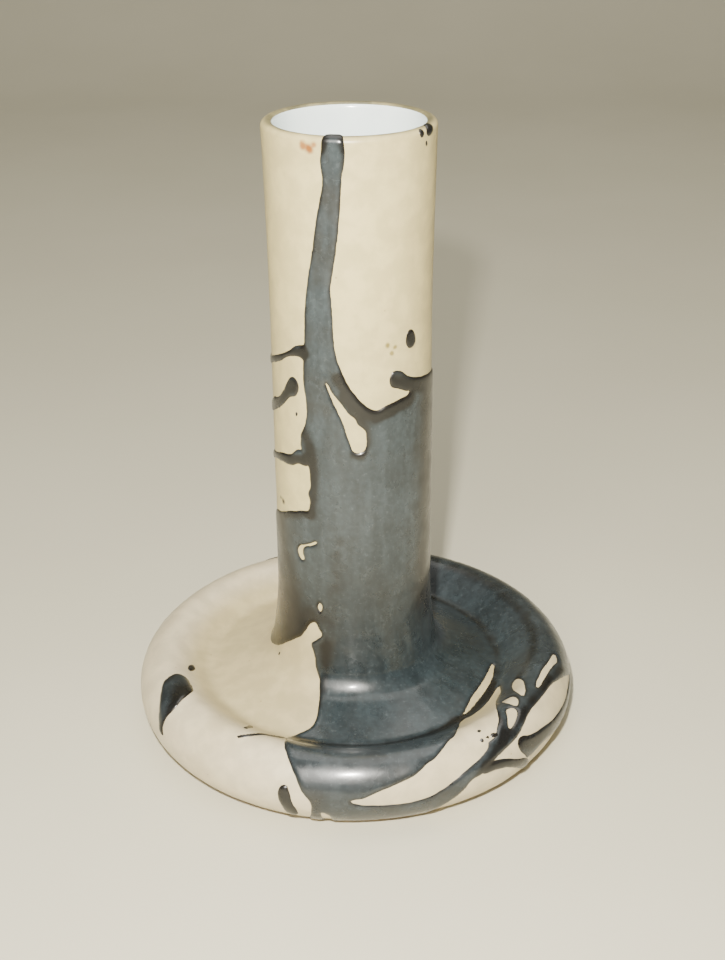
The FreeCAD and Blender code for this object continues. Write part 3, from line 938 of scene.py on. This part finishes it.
# The pour came round the pot from the right. Its upper edge climbs in a run up the front of the neck, its
# lower edge crosses collar, dish and rim. The two ends of the line overlap at the back.
MAIN_POUR = Outline(on_neck((-200, 104), (-190, 92), (-180, 78), (-170, 68), (-160, 62), (-145, 60),
    (-130, 66), (-118, 71), (-110, 66), (-100, 64), (-87, 66.6), (-80, 68), (-65, 70), (-50, 72.6), (-40, 74),
    (-34, 75), (-32.5, 77.6), (-34, 80), (-32, 82), (-32, 85), (-33, 88), (-36, 90), (-39.5, 93), (-39.5, 97),
    (-37, 99), (-34, 103), (-34, 107), (-36, 113), (-35.5, 118), (-34, 124), (-33, 133), (-30, 141),
    (-26, 149), (-22, 158), (-17.5, 167), (-18.5, 171), (-18, 175), (-17, 178), (-15, 180), (-10.5, 180.3),
    (-5.6, 180), (-3.8, 177.6), (-3, 173), (-5, 168), (-6.5, 160), (-8, 154), (-11, 146), (-13.5, 140),
    (-13.5, 137), (-12.5, 131), (-12, 125), (-10.5, 121), (-7, 117), (-1, 112), (5, 109), (11, 106.6),
    (17, 105.6), (25, 106.6), (35, 107.6), (43, 108.2), (44, 108.9), (40, 109.4), (34, 110.6), (28, 111.6),
    (26.5, 113.6), (29, 115.6), (35, 115.6), (42, 113.6), (52, 112), (65, 111), (87, 109.6), (100, 108.5),
    (112, 110), (120, 116), (125, 124), (131, 127), (136, 122), (138, 112), (145, 107), (152, 108),
    (160, 104), (170, 92), (180, 78), (190, 68), (200, 62)) + ((200, -36), (190, -28), (180, -20), (175, -12),
    (178, -4), (174, 4), (172, 14), (175, 22), (176, 34), (150, 36), (120, 36), (95, 34), (93, 26), (90, 20),
    (87, 16), (83, 12.5), (80, 10.5), (76, 8.2), (72, 6.3), (68, 5), (63, 4.6), (58, 4.5), (54, 4.7), (50, 6),
    (47, 7.3), (44.5, 8.2), (42, 8.8), (38, 9.8), (34.5, 11), (32, 12.8), (29, 13.5), (26, 16.5), (22, 20),
    (19, 23.5), (17, 28), (5, 30), (-6, 29), (-12, 28), (-12, 24), (-11, 19), (-11, 15), (-13, 12), (-15, 8),
    (-17.5, 4), (-20, 0), (-21.5, -4), (-23, -8), (-25.5, -13), (-24, -15.3), (-20.5, -18), (-18.5, -20),
    (-18.3, -24), (-21, -30), (-25, -35.8), (-28, -38.3), (-30, -42.3), (-33, -45.3), (-28, -47.3),
    (-24.5, -49.3), (-27, -50.8), (-30, -52.5), (-34, -51.8), (-38, -49.3), (-42, -46.8), (-50, -44.2),
    (-60, -41), (-70, -38), (-85, -35.2), (-100, -34.6), (-120, -36.4), (-140, -36), (-160, -33), (-180, -36),
    (-200, -36)))
BACK_RUN = Outline(on_neck((148, 100), (147, 120), (149, 140), (152, 160), (151, 171), (153, 176.5),
    (158, 177), (161, 172), (160, 160), (158.5, 140), (158, 120), (163, 100)))
UPPER_BAND = Outline(on_neck((-32, 122.6), (-40, 122.6), (-50, 120), (-60, 118), (-75, 115.6), (-85, 114.2),
    (-98, 113.6), (-106, 113.2), (-108, 111.4), (-104, 110), (-96, 110.6), (-85, 111.8), (-75, 113.6),
    (-60, 116), (-50, 118.4), (-40, 119.4), (-32, 119)))
FINGER = Outline(on_neck((-87, 101), (-75, 103.6), (-65, 105), (-57, 108), (-52, 111), (-47, 113),
    (-42, 112.6), (-40, 110.6), (-43, 108), (-50, 106.6), (-60, 103), (-70, 100.6), (-87, 97.4), (-101, 95.6),
    (-112, 93), (-117, 94), (-115, 97.4), (-102, 99.6)))
LOWER_BAND = Outline(on_neck((-34, 91.4), (-42, 92.4), (-50, 90), (-60, 89), (-75, 87), (-87, 85.6),
    (-99, 83.6), (-107, 82), (-109, 79.6), (-104, 78.4), (-97, 80.6), (-87, 83), (-75, 85), (-60, 86.2),
    (-50, 86.6), (-42, 88), (-34, 88.4)))
THIN_LINE = Outline(((33, 10.9), (36, 10.8), (40, 12), (44, 14.3), (46.5, 15.5), (48.5, 17.5), (49, 20),
    (47.2, 20.7), (45.6, 19), (43.4, 17.2), (39.6, 14.7), (36, 13.5), (32.5, 13.2)), 0.4)
FORKED_BLOB = Outline(((45.5, 8.6), (44.4, 9.8), (44.6, 11.8), (46.4, 14.6), (48, 16.2), (50, 16), (53, 15.4),
    (57, 15.8), (62, 16.8), (70, 17.4), (80, 19.6), (90, 24), (98, 24), (97, 18), (90, 15), (84, 12.6),
    (78, 12.2), (72, 12.7), (66, 12.4), (60, 11.8), (56, 11), (52, 10.4), (49, 9.7), (47, 8.8)), 0.4)

# Windows that stayed cream inside the dark glaze.
LEAF = Outline(on_neck((-18, 113.4), (-13, 110.4), (-7, 107.4), (-2, 104.8), (2, 103.4), (3.5, 102),
    (8, 100.4), (9.5, 98.6), (8.6, 94.6), (4.4, 93.6), (0.4, 94.2), (-3, 97.6), (-7, 102.6), (-13.6, 108.4),
    (-16.4, 111)), 0.3)
UPPER_CHIP = Outline(on_neck((-45.2, 60.8), (-42.4, 62.8), (-38.5, 63.5), (-33, 64.5), (-28, 65.5),
    (-27.8, 65.1), (-33, 63.8), (-38.6, 62.8), (-40.6, 61), (-39, 58.9), (-42, 58.5)), 0.15)
LOWER_CHIP = Outline(on_neck((-27.8, 44.4), (-26.4, 46), (-24.4, 45), (-25.6, 43.2)), 0.15)
CRESCENT = Outline(((-1.5, 14), (2, 13), (5, 11.5), (10, 9.7), (15, 7.8), (18, 5.8), (20, 5), (23, 3),
    (26, 1), (29, -0.5), (31, -2.5), (34, -6), (37, -9.5), (40, -12.2), (43, -13), (46, -12.5), (53, -12.5),
    (60, -12.9), (66, -13.2), (69, -12.8), (67, -12), (63, -10.5), (58, -9.5), (54, -8), (50, -5), (46, -1.5),
    (43, 1.5), (41, 3), (38.5, 5), (36, 5.5), (35.5, 6.5), (33, 8), (30, 9.3), (28, 10), (24, 12), (20, 14),
    (17, 15.2), (13, 15.8), (9, 15.8), (4, 15.5), (0.5, 15)), 0.3)
SLIVER = Outline(((43.5, -14.8), (47, -15.7), (52, -17), (58, -18), (66, -18.1), (75, -17.8), (80, -17.4),
    (83, -16.9), (84, -16.3), (78, -16), (70, -16), (62, -16), (55, -15.8), (48, -15.2)), 0.2)
UPPER_SHARD = Outline(((57.2, 0.2), (58.4, -2.2), (61, -4.8), (64, -6.6), (67.4, -7.4), (69, -6.9), (68, -5),
    (65.4, -3.2), (62.2, -1.4), (59, -0.1)), 0.2)
MIDDLE_SHARD = Outline(((52, 1), (51.6, -0.9), (52, -3), (52.9, -4.9), (54.2, -4.6), (55.6, -3), (55.4, -1),
    (53.8, 0.5)), 0.2)
LOWER_SHARD = Outline(((43.8, 5.4), (44.6, 3.8), (46.4, 1.8), (48.6, -0.1), (50.4, 0.9), (50, 2.6), (47.6, 4),
    (45.2, 5.1)), 0.2)
RIGHT_SHARD = Outline(((63, 1.8), (65.5, 1), (69, 0.8), (73, 1), (78, 2.2), (82, 3.3), (82.5, 4), (80, 4.8),
    (77, 3.8), (73, 2.8), (68, 2.4), (64, 2.3)), 0.2)
FOOT_CHIP = Outline(((-8.4, 18.6), (-7, 19.4), (-6.3, 22), (-6.8, 25), (-8.2, 24), (-8.6, 21)), 0.2)

# Where the coat is thin, mostly along its edges; and painted shade in the dish's valley and down the sides of
# the neck.
STROKES = (
    Stroke(on_neck((-34, 121), (-50, 119.2), (-60, 117), (-75, 114.6), (-104, 111.6)), 3.2, 1),
    Stroke(on_neck((-44, 111), (-52, 109), (-60, 105.5), (-75, 102), (-114, 95)), 3.8, 1),
    Stroke(on_neck((-34, 90), (-50, 88.3), (-65, 87), (-87, 84.3), (-106, 80)), 3.2, 1),
    Stroke(on_neck((-8, 115), (-1, 110.6), (6, 107), (17, 104), (28, 105), (42, 107)), 3.8, 1.1),
    Stroke(on_neck((28, 113.4), (40, 111.6), (55, 110), (70, 109.3), (100, 107)), 3.8, 1),
    Stroke(on_neck((-6, 109.5), (2, 104.8), (9.5, 101), (11, 96), (6, 92.5), (0, 93)), 2.2, 0.7),
    Stroke(on_neck((-38, 99), (-32, 95), (-29, 88), (-29, 80), (-31, 74)), 3.4, 0.8),
    Stroke(on_neck((-32, 134), (-34, 124), (-35, 112)), 1.6, 0.5),
    Stroke(on_neck((-34, 74), (-55, 70.8), (-75, 67.5), (-100, 63.5)), 2.4, 0.6),
    Stroke(on_neck((-17, 175), (-14, 178.5), (-6, 178.5), (-4, 175)), 2, 0.8),
    Stroke(on_neck((-10, 66), (-12.5, 60.5), (-11.5, 55), (-17, 48.5), (-20, 42), (-19, 30)), 5, 0.42),
    # Painted shade: broad darkening down the neck's left and right sides, where the light falls off.
    Stroke(on_neck((-84, 74), (-76, 60), (-66, 50), (-60, 42)), 14, 1),
    Stroke(on_neck((78, 104), (78, 80), (78, 60), (74, 44)), 16, 1),
    Stroke(((-78, -38), (-60, -43.6), (-45, -48), (-33, -54)), 5.5, 0.7),
    Stroke(((-24, -9.5), (-10, -8.6), (5, -8.8), (20, -9.8), (32, -10.6)), 4, 0.7),
    Stroke(((70, -6), (85, -2.5), (110, -2), (145, -2)), 3.6, 0.5),
    Stroke(((-20, -46), (-20.5, -33), (-19, -24)), 3, 0.45),
    # Painted shade with some pooled glaze: a dark line along the valley across the front.
    Stroke(((-22, -13.5), (-10, -12.6), (0, -12.2), (15, -12.4), (30, -13), (41, -14.2)), 3, 0.8),
    # Painted shade along the valley round the right of the dish.
    Stroke(((41, -14.2), (60, -15), (80, -15), (110, -15), (145, -15)), 3.6, 0.5),
    Stroke(((20, 20.5), (28, 15), (33, 10.5), (38, 7.5), (45, 5.4), (52, 3.8), (60, 3), (70, 4), (79, 7)),
        2.8, 0.7),
    Stroke(((45, 9.6), (50, 12.2), (60, 14), (75, 15.4), (92, 18)), 4.2, 1),
    Stroke(((33, 12), (40, 13), (46, 16.6), (48.5, 20)), 2.6, 0.9),
    Stroke(((47, -4), (43.5, 1), (41.5, 4.5), (40, 7.5)), 2.4, 0.6),
    Stroke(((43, -13.9), (50, -14), (58, -14.4), (70, -15)), 1.6, 0.9),
    Stroke(((-11.5, 20), (-4, 23), (5, 22), (16, 21)), 4, 0.5),
)

POUR = Pattern(
    (MAIN_POUR, BACK_RUN, UPPER_BAND, FINGER, LOWER_BAND, THIN_LINE, FORKED_BLOB),
    (
        LEAF, UPPER_CHIP, LOWER_CHIP, CRESCENT, SLIVER, UPPER_SHARD, MIDDLE_SHARD, LOWER_SHARD, RIGHT_SHARD,
        FOOT_CHIP,
    ),
    STROKES,
)

# Separate drops, specks and hairlines.
TEARDROP = Outline(((-66, -4.7), (-70, -4.5), (-72, -2), (-71, 0.5), (-69.5, 3), (-67, 4.7), (-64.5, 6.5),
    (-62, 9), (-60.5, 11), (-59, 13.3), (-57.3, 13.5), (-58, 11), (-58, 8), (-57.3, 5), (-57.8, 2),
    (-59, -0.5), (-61, -3), (-63, -4.2)))
SLANTED_SPOT = Outline(((-81.5, -8.4), (-80, -9.2), (-77.5, -8), (-76.6, -6.6), (-78.4, -6.4), (-80.6, -7.2)))
WALL_DROP = Outline(((-18.2, 11.2), (-17, 10.8), (-16, 12.8), (-15.4, 15.7), (-14.4, 19.6), (-15, 22),
    (-17, 21.4), (-18.2, 17.6), (-18.9, 13.8)))
NECK_DROP = Outline(on_neck((40.2, 123.2), (41.8, 125.6), (45.6, 126.2), (49.4, 124.6), (50, 122.4),
    (46.6, 121), (42.4, 121.4)))
LIP_SMUDGE = Outline(on_neck((57.6, 176.6), (60, 178.2), (63, 179.2), (67, 178.8), (68, 177.4), (65, 176.2),
    (61, 175.6)))
LIP_BLOT = Outline(on_neck((50, 177), (51.5, 178.2), (54, 178), (54.4, 176.6), (52, 175.8)))
LIP_DOT = Outline(on_neck((56.4, 174), (57.4, 174.8), (58.8, 174), (57.6, 173.2)))
COMMA = Outline(((37.4, 4.4), (38.2, 3.7), (39.6, 4.2), (41.4, 5.4), (41, 6.4), (39.2, 5.4)), 0.3)
VALLEY_LINE = Outline(((-38.4, -9.6), (-37.2, -10.2), (-35.6, -6.4), (-34.4, -3), (-35.2, -2.8),
    (-36.6, -6.2)), 0.3)
FINGER_SPECK = Outline(on_neck((-44.4, 102.6), (-43, 103.4), (-41.6, 102.7), (-43, 101.9)))
CRESCENT_SPECK = Outline(((33.8, 4.3), (34.6, 3.7), (35.3, 4.3), (34.5, 4.9)))
CRESCENT_DOT = Outline(((35.9, 4.2), (36.5, 3.6), (37.1, 4.2), (36.5, 4.8)))
LOW_SPECK = Outline(((35, 1.5), (35.6, 0.9), (36.3, 1.6), (35.6, 2.1)))
DISH_SPECK = Outline(((-65.6, -36.8), (-64.6, -37.3), (-64.2, -36.2), (-65.2, -35.9)))
HAIR_LINE = Outline(((-34, 1.7), (-31.6, -0.6), (-30, -2.6), (-28.8, -5), (-27.4, -8.2), (-25.6, -12.2),
    (-25, -12), (-26.3, -7.2), (-27.8, -4), (-29, -1.7), (-31, 0.4), (-33.4, 2.1)))
BACK_DROP = Outline(((-158, 5), (-153, 4.4), (-150, 7), (-150.6, 12), (-152.6, 18), (-154.6, 19),
    (-155.6, 14), (-158.6, 9)))
BACK_SPOT = Outline(on_neck((-140, 132), (-136, 134.6), (-132, 133), (-133, 129.6), (-137.6, 129)))

DROPS = Pattern(
    (
        TEARDROP, SLANTED_SPOT, WALL_DROP, NECK_DROP, LIP_SMUDGE, FINGER_SPECK, CRESCENT_SPECK, CRESCENT_DOT,
        LOW_SPECK, DISH_SPECK, HAIR_LINE, VALLEY_LINE, COMMA, LIP_BLOT, LIP_DOT, BACK_DROP, BACK_SPOT,
    ),
    strokes=(
        Stroke(((-68, -2), (-66, 2), (-60, 8)), 4.5, -0.55),
        Stroke(((-154, 8), (-153, 13)), 4.5, -0.4),
    ),
    thin=0.8,
)


# Sub-assemblies ---------------------------------------------------------------------------------------


@dataclass
class DarkGlaze:
    """One patch of poured glaze: a cut piece of skin that swells from a rounded edge to its full coat.

    Attributes:
        name: name of the piece.
        node: clay model node that it stands for.
        pattern: where it lies.
        stretches: stretches of the outside that it covers.
        shoulder: width of the rounded edge; all sizes are in millimetres.
        ragged: how far the edge wanders.
        snap: points nearer to the edge than this lie on it.
        spare: how much of the sheet is kept beyond the edge until it is cut.
        edge_lift: height of the edge over the cream coat.
        body: height of the full coat over its edge.
        bead: height, place and width of the bead behind the shoulder.
        ripple: height and width of the ripples.
        sink: how deep the underside sinks into the cream coat, and how soon.
        flow: how many times longer than wide the streaks are.
        grids: facets round the pot and longest edge of each stretch's sheet.
    """

    name: str
    node: str
    pattern: Pattern
    stretches: tuple[Stretch, ...]
    shoulder: float = 0.95
    ragged: float = 0.13
    snap: float = 0.04
    spare: float = 2.0
    edge_lift: float = 0.012
    body: float = POT.pour - 0.1
    bead: tuple[float, float, float] = (0.05, 1.5, 0.9)
    ripple: tuple[float, float] = (0.035, 3.4)
    sink: tuple[float, float] = (0.06, 0.5)
    flow: float = 7.0
    grids: dict[Stretch, tuple[int, float]] = field(
        default_factory=lambda: {Stretch.NECK: (300, 0.46), Stretch.BASE: (520, 0.66)}
    )

    def sheet(self, stretch: Stretch) -> BMesh:
        """Fine sheet on the cream coat over one stretch of the outside."""
        skin = Skin(POT.coat)
        facets, cell = self.grids[stretch]
        if stretch is Stretch.BASE:
            return skin.outside(POT.foot_height + POT.pour, cell, to_lip=False).turned(facets)
        section = Section((POT.tube_radius + POT.coat, POT.joint_height), cell)
        return skin.lip(skin.neck(section)).measure(COLLAR_RUN).turned(facets)

    def mark(self, bm: BMesh) -> None:
        """Writes on every point its distance to the pattern's edge and how thin the glaze is there, painted
        shade included.
        """
        run = bm.verts.layers.float[Layer.RUN.value]
        edge = bm.verts.layers.float.new(Layer.EDGE.value)
        thin = bm.verts.layers.float.new(Layer.THIN.value)
        places = np.array([vert.co[:] for vert in bm.verts]) / MM
        spots = Spots(
            np.degrees(np.arctan2(places[:, 0], -places[:, 1])),
            np.array([vert[run] for vert in bm.verts]),
            np.hypot(places[:, 0], places[:, 1]),
        )
        gaps, shares = self.pattern.distance(spots).tolist(), self.pattern.thinness_and_shade(spots).tolist()
        for vert, gap, share in zip(bm.verts, gaps, shares):
            vert[edge] = gap
            vert[thin] = share

    def cut(self, bm: BMesh) -> None:
        """Cuts the marked sheet along the pattern's edge and drops what is outside."""
        edge = bm.verts.layers.float[Layer.EDGE.value]
        distant = [vert for vert in bm.verts if vert[edge] > self.spare]
        bmesh.ops.delete(bm, geom=distant, context="VERTS")
        for vert in bm.verts:
            rough = noise.noise(vert.co / (1.9 * MM)) + 0.6 * noise.noise(vert.co / (0.7 * MM))
            gap = vert[edge] + self.ragged * rough
            vert[edge] = 0.0 if abs(gap) < self.snap else gap
        crossing = {}
        for line in bm.edges:
            first, second = (vert[edge] for vert in line.verts)
            if first * second < 0.0:
                crossing[line] = first / (first - second)
        split = bmesh.ops.bisect_edges(bm, edges=list(crossing), cuts=1, edge_percents=crossing)
        for item in split["geom_split"]:
            if isinstance(item, BMVert):
                item[edge] = 0.0
        bmesh.ops.connect_verts(bm, verts=[vert for vert in bm.verts if vert[edge] == 0.0])
        outside = [face for face in bm.faces if max(vert[edge] for vert in face.verts) > 0.0]
        flat = [face for face in bm.faces if min(vert[edge] for vert in face.verts) == 0.0]
        bmesh.ops.delete(bm, geom=list({*outside, *flat}), context="FACES")

    def swell(self, bm: BMesh) -> None:
        """Raises the cut sheet off the cream coat and closes it underneath."""
        dip(bm)
        edge = bm.verts.layers.float[Layer.EDGE.value]
        bead, bead_place, bead_width = self.bead
        ripple, ripple_width = self.ripple
        sink, sink_width = self.sink

        def top(vert: BMVert) -> float:
            """Height of the glaze over the coat: a rounded shoulder with a slight bead behind it."""
            inside = -vert[edge]
            share = max(0.0, min(inside / self.shoulder, 1.0))
            beaded = bead * math.exp(-(((inside - bead_place) / bead_width) ** 2))
            rippled = ripple * noise.noise(vert.co / (ripple_width * MM)) * share
            return self.edge_lift + self.body * math.sqrt(1.0 - (1.0 - share) ** 2) + beaded + rippled

        def under(vert: BMVert) -> float:
            """The underside sinks a little into the cream coat, except at the very edge."""
            return self.edge_lift - sink * min(-vert[edge] / sink_width, 1.0)

        shell(bm, top, under)

    def build(self, finish: bpy.types.Material) -> bpy.types.Object:
        """Makes the finished piece from its stretches."""
        whole = bmesh.new()
        for stretch in self.stretches:
            bm = self.sheet(stretch)
            self.mark(bm)
            self.cut(bm)
            self.swell(bm)
            part = bpy.data.meshes.new("part")
            bm.to_mesh(part)
            bm.free()
            whole.from_mesh(part)
            bpy.data.meshes.remove(part)
        self.dress(whole)
        return finished(whole, self.name, finish, Slot.DARK_GLAZE, self.node)

    def dress(self, bm: BMesh) -> None:
        """Writes the values that the finish reads."""
        edge = bm.verts.layers.float[Layer.EDGE.value]
        run = bm.verts.layers.float[Layer.RUN.value]
        drift = bm.verts.layers.float_vector.new(Layer.DRIFT.value)
        for vert in bm.verts:
            vert[edge] = max(-vert[edge], 0.0)
            level = vert.co.xy.normalized() * (POT.tube_radius * MM)
            vert[drift] = Vector((level.x, level.y, vert[run] * MM / self.flow))


@dataclass
class CreamCoat:
    """First coat over the whole outside and over the lip."""

    facets: int = 250
    cell: float = 1.2

    def build(self, finish: bpy.types.Material) -> bpy.types.Object:
        """Makes the coat as a closed shell."""
        bm = Skin(POT.coat).outside(POT.foot_height, self.cell, to_lip=True).turned(self.facets)
        dip(bm)
        shell(bm, lambda vert: 0.0, lambda vert: -POT.coat)
        return finished(bm, "cream_coat", finish, Slot.CREAM_GLAZE, "cream_glaze")


@dataclass
class Liner:
    """White coat over the whole inside, from the lip down to the floor."""

    facets: int = 180
    cell: float = 1.5

    def build(self, finish: bpy.types.Material) -> bpy.types.Object:
        """Makes the liner as a closed shell."""
        skin = Skin(-POT.wall - POT.coat)
        floor = POT.floor_top + POT.coat
        section = Section((0.0, floor), self.cell).line(skin.rim_end(floor))
        skin.neck(skin.base(section, floor))
        section.arc(POT.lip_centre, POT.liner_turn - 90.0)
        bm = section.measure(0.0).turned(self.facets)
        if self.faces_outwards(bm):
            bmesh.ops.reverse_faces(bm, faces=bm.faces)
        shell(bm, lambda vert: 0.0, lambda vert: -POT.coat)
        return finished(bm, "white_liner", finish, Slot.LINER_GLAZE, "liner_glaze")

    @staticmethod
    def faces_outwards(bm: BMesh) -> bool:
        """True if the neck's faces point away from the axis."""
        side = next(face for face in bm.faces if face.calc_center_median().z > POT.waist_height * MM)
        return side.normal.xy.dot(side.calc_center_median().xy) > 0.0


@dataclass
class Foot:
    """Bare foot ring with rounded edges, and the floor slab with the groove that holds it."""

    facets: int = 200
    ring_cell: float = 0.9
    slab_cell: float = 1.6

    def build(self, finish: bpy.types.Material) -> list[bpy.types.Object]:
        """Makes the ring and the slab."""
        outer = POT.seat_radius - POT.foot_inset
        inner = outer - POT.foot_width
        top, under, low = POT.foot_height + POT.foot_seat, POT.foot_height, POT.foot_round
        ring = Section((inner, top), self.ring_cell).line((inner, low)).arc((inner + low, low), 90.0)
        ring.line((outer - low, 0.0)).arc((outer - low, low), 90.0).line((outer, top)).line((inner, top))
        ring_mesh = ring.turned(self.facets)
        bmesh.ops.remove_doubles(ring_mesh, verts=ring_mesh.verts, dist=0.01 * MM)
        bmesh.ops.recalc_face_normals(ring_mesh, faces=ring_mesh.faces)
        slab_edge = POT.seat_radius - POT.slip_film
        slab = Section((0.0, under), self.slab_cell)
        groove = ((inner, under), (inner, top), (outer, top), (outer, under))
        for corner in (*groove, (slab_edge, under), (slab_edge, POT.floor_top), (0.0, POT.floor_top)):
            slab.line(corner)
        return [
            finished(ring_mesh, "turned_foot", finish, Slot.BARE_CLAY, "foot_ring"),
            finished(slab.turned(self.facets), "floor_slab", finish, Slot.BARE_CLAY, "base_floor"),
        ]


class ClayBody:
    """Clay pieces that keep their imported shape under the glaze."""

    NODES = ("neck_tube", "base_shell", "neck_slip", "floor_slip")

    def dress(self, finish: bpy.types.Material) -> None:
        """Gives each node the bare clay finish."""
        for name in self.NODES:
            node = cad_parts[name]
            if not node.data.materials:
                node.data.materials.append(finish)
            for holder in node.material_slots:
                holder.material = finish
            LOG.info("%s: packed shape, bare clay finish", name)


@dataclass(frozen=True)
class Lamp:
    """Square soft light: its place and the length of its side in metres, power in watts and colour."""

    name: str
    place: tuple[float, float, float]
    side: float
    power: float
    colour: str


@dataclass
class Studio:
    """Plain floor, soft lights and the camera.

    Attributes:
        eye: place of the camera in metres.
        pitch: how far the camera looks down, in radians.
        yaw: how far it is turned to the right, in radians.
        roll: how far it is tilted about its own axis, in radians.
        lens: focal length on a sensor 36 mm wide.
        floor_half: half the floor's width and its reach in front of the pot, in metres.
        floor_back: how far behind the pot the floor begins to curve up, in metres.
        floor_curve: radius of that curve in metres.
        wall: height of the straight wall above the curve in metres.
        lamps: key beside the camera and broad soft fills.
        aim: place that the lamps look at.
        air: colour of the even surrounding.
        air_strength: its strength.
    """

    eye: tuple[float, float, float] = (0.0, -0.375155, 0.256595)
    pitch: float = 0.450813
    yaw: float = 0.0072134
    roll: float = -0.0078529
    lens: float = 54.52
    floor_half: float = 2.5
    floor_back: float = 0.9
    floor_curve: float = 0.5
    wall: float = 2.0
    lamps: tuple[Lamp, ...] = (
        Lamp("key", (-0.020, -0.345, 0.312), 0.014, 5.0, "#fffaf0"),
        Lamp("soft_front", (-0.30, -1.0, 0.75), 0.7, 8.0, "#fffaf0"),
        Lamp("soft_top", (0.1, 0.2, 1.3), 1.1, 9.0, "#fffcf4"),
    )
    aim: tuple[float, float, float] = (0.0, 0.0, 0.07)
    air: str = "#e8e6dc"
    air_strength: float = 0.24

    def floor(self) -> None:
        """Lays a broad floor that curves up behind the pot."""
        bm = bmesh.new()
        left, back = -self.floor_half, self.floor_back
        ends = [bm.verts.new((left, place, 0.0)) for place in (left, back)]
        bm.edges.new(ends)
        hinge = (left, back, self.floor_curve)
        bmesh.ops.spin(bm, geom=ends[1:], cent=hinge, axis=(1, 0, 0), angle=math.radians(80), steps=24)
        highest = max(bm.verts, key=lambda vert: vert.co.z)
        grown = bmesh.ops.extrude_vert_indiv(bm, verts=[highest])
        grown["verts"][0].co.z += self.wall
        wide = bmesh.ops.extrude_edge_only(bm, edges=bm.edges)
        new = [item for item in wide["geom"] if isinstance(item, BMVert)]
        bmesh.ops.translate(bm, verts=new, vec=(2 * self.floor_half, 0.0, 0.0))
        bmesh.ops.recalc_face_normals(bm, faces=bm.faces)
        for face in bm.faces:
            face.smooth = True
            if face.normal.z < -0.1:
                face.normal_flip()
        mesh = bpy.data.meshes.new("studio_floor")
        bm.to_mesh(mesh)
        bm.free()
        mesh.materials.append(PaintedBoard().make())
        floor = bpy.data.objects.new("studio_floor", mesh)
        bpy.context.scene.collection.objects.link(floor)

    def lights(self) -> None:
        """Hangs the lamps and sets the even pale surrounding."""
        for lamp in self.lamps:
            light = bpy.data.lights.new(lamp.name, "AREA")
            light.shape = "SQUARE"
            light.size = lamp.side
            light.energy = lamp.power
            light.color = linear(lamp.colour)[:3]
            holder = bpy.data.objects.new(lamp.name, light)
            way = Vector(self.aim) - Vector(lamp.place)
            turn = way.to_track_quat("-Z", "Y").to_matrix().to_4x4()
            holder.matrix_world = Matrix.Translation(lamp.place) @ turn
            bpy.context.scene.collection.objects.link(holder)
        world = bpy.data.worlds.new("studio")
        world.use_nodes = True
        background = world.node_tree.nodes["Background"]
        background.inputs["Color"].default_value = linear(self.air)
        background.inputs["Strength"].default_value = self.air_strength
        bpy.context.scene.world = world

    def camera(self) -> None:
        """Sets the camera in front of the pot, looking down at it."""
        lens = bpy.data.cameras.new("camera")
        lens.lens = self.lens
        lens.clip_start = 0.01
        level = Vector((math.cos(self.yaw), -math.sin(self.yaw), 0.0))
        ahead = Vector((math.sin(self.yaw), math.cos(self.yaw), 0.0))
        forward = math.cos(self.pitch) * ahead - Vector((0.0, 0.0, math.sin(self.pitch)))
        upright = level.cross(forward)
        right = math.cos(self.roll) * level + math.sin(self.roll) * upright
        above = math.cos(self.roll) * upright - math.sin(self.roll) * level
        turn = Matrix((right, above, -forward)).transposed().to_4x4()
        holder = bpy.data.objects.new("camera", lens)
        holder.matrix_world = Matrix.Translation(self.eye) @ turn
        bpy.context.scene.collection.objects.link(holder)
        bpy.context.scene.camera = holder


# Rusty stains under the lip, ochre ones on the neck's right and dark ones on its left.
STAINS = tuple(
    Stain(turn, COLLAR_RUN - rise, radius, colour, strength)
    for turn, rise, radius, colour, strength in (
        (-30.0, 123.4, 1.5, "#96602c", 0.9),
        (-26.0, 123.2, 1.6, "#8f5a28", 1.0),
        (-22.6, 123.8, 1.1, "#96602c", 0.8),
        (25.4, 71.4, 1.0, "#77692a", 0.85),
        (31.0, 70.4, 0.9, "#77692a", 0.8),
        (28.6, 69.2, 0.8, "#77692a", 0.75),
        (-63.0, 21.6, 1.3, "#2b1f14", 1.0),
        (-67.0, 22.2, 0.7, "#2b1f14", 1.0),
    )
)


def main() -> None:
    """Builds every piece in order, then the studio."""
    logging.basicConfig(level=logging.INFO, format="%(message)s", stream=sys.stdout)
    cream, liner = CreamGlaze(stains=STAINS).make(), LinerGlaze().make()
    slate, clay = SlateGlaze().make(), FiredClay().make()
    ClayBody().dress(clay)
    Foot().build(clay)
    CreamCoat().build(cream)
    Liner().build(liner)
    DarkGlaze("neck_pour", "dark_pour_neck", POUR, (Stretch.NECK,)).build(slate)
    DarkGlaze("base_pour", "dark_pour_base", POUR, (Stretch.BASE,)).build(slate)
    DarkGlaze("loose_drops", "dark_drops", DROPS, (Stretch.NECK, Stretch.BASE), shoulder=0.7).build(slate)
    studio = Studio()
    studio.floor()
    studio.lights()
    studio.camera()


if __name__ == "__main__":
    main()
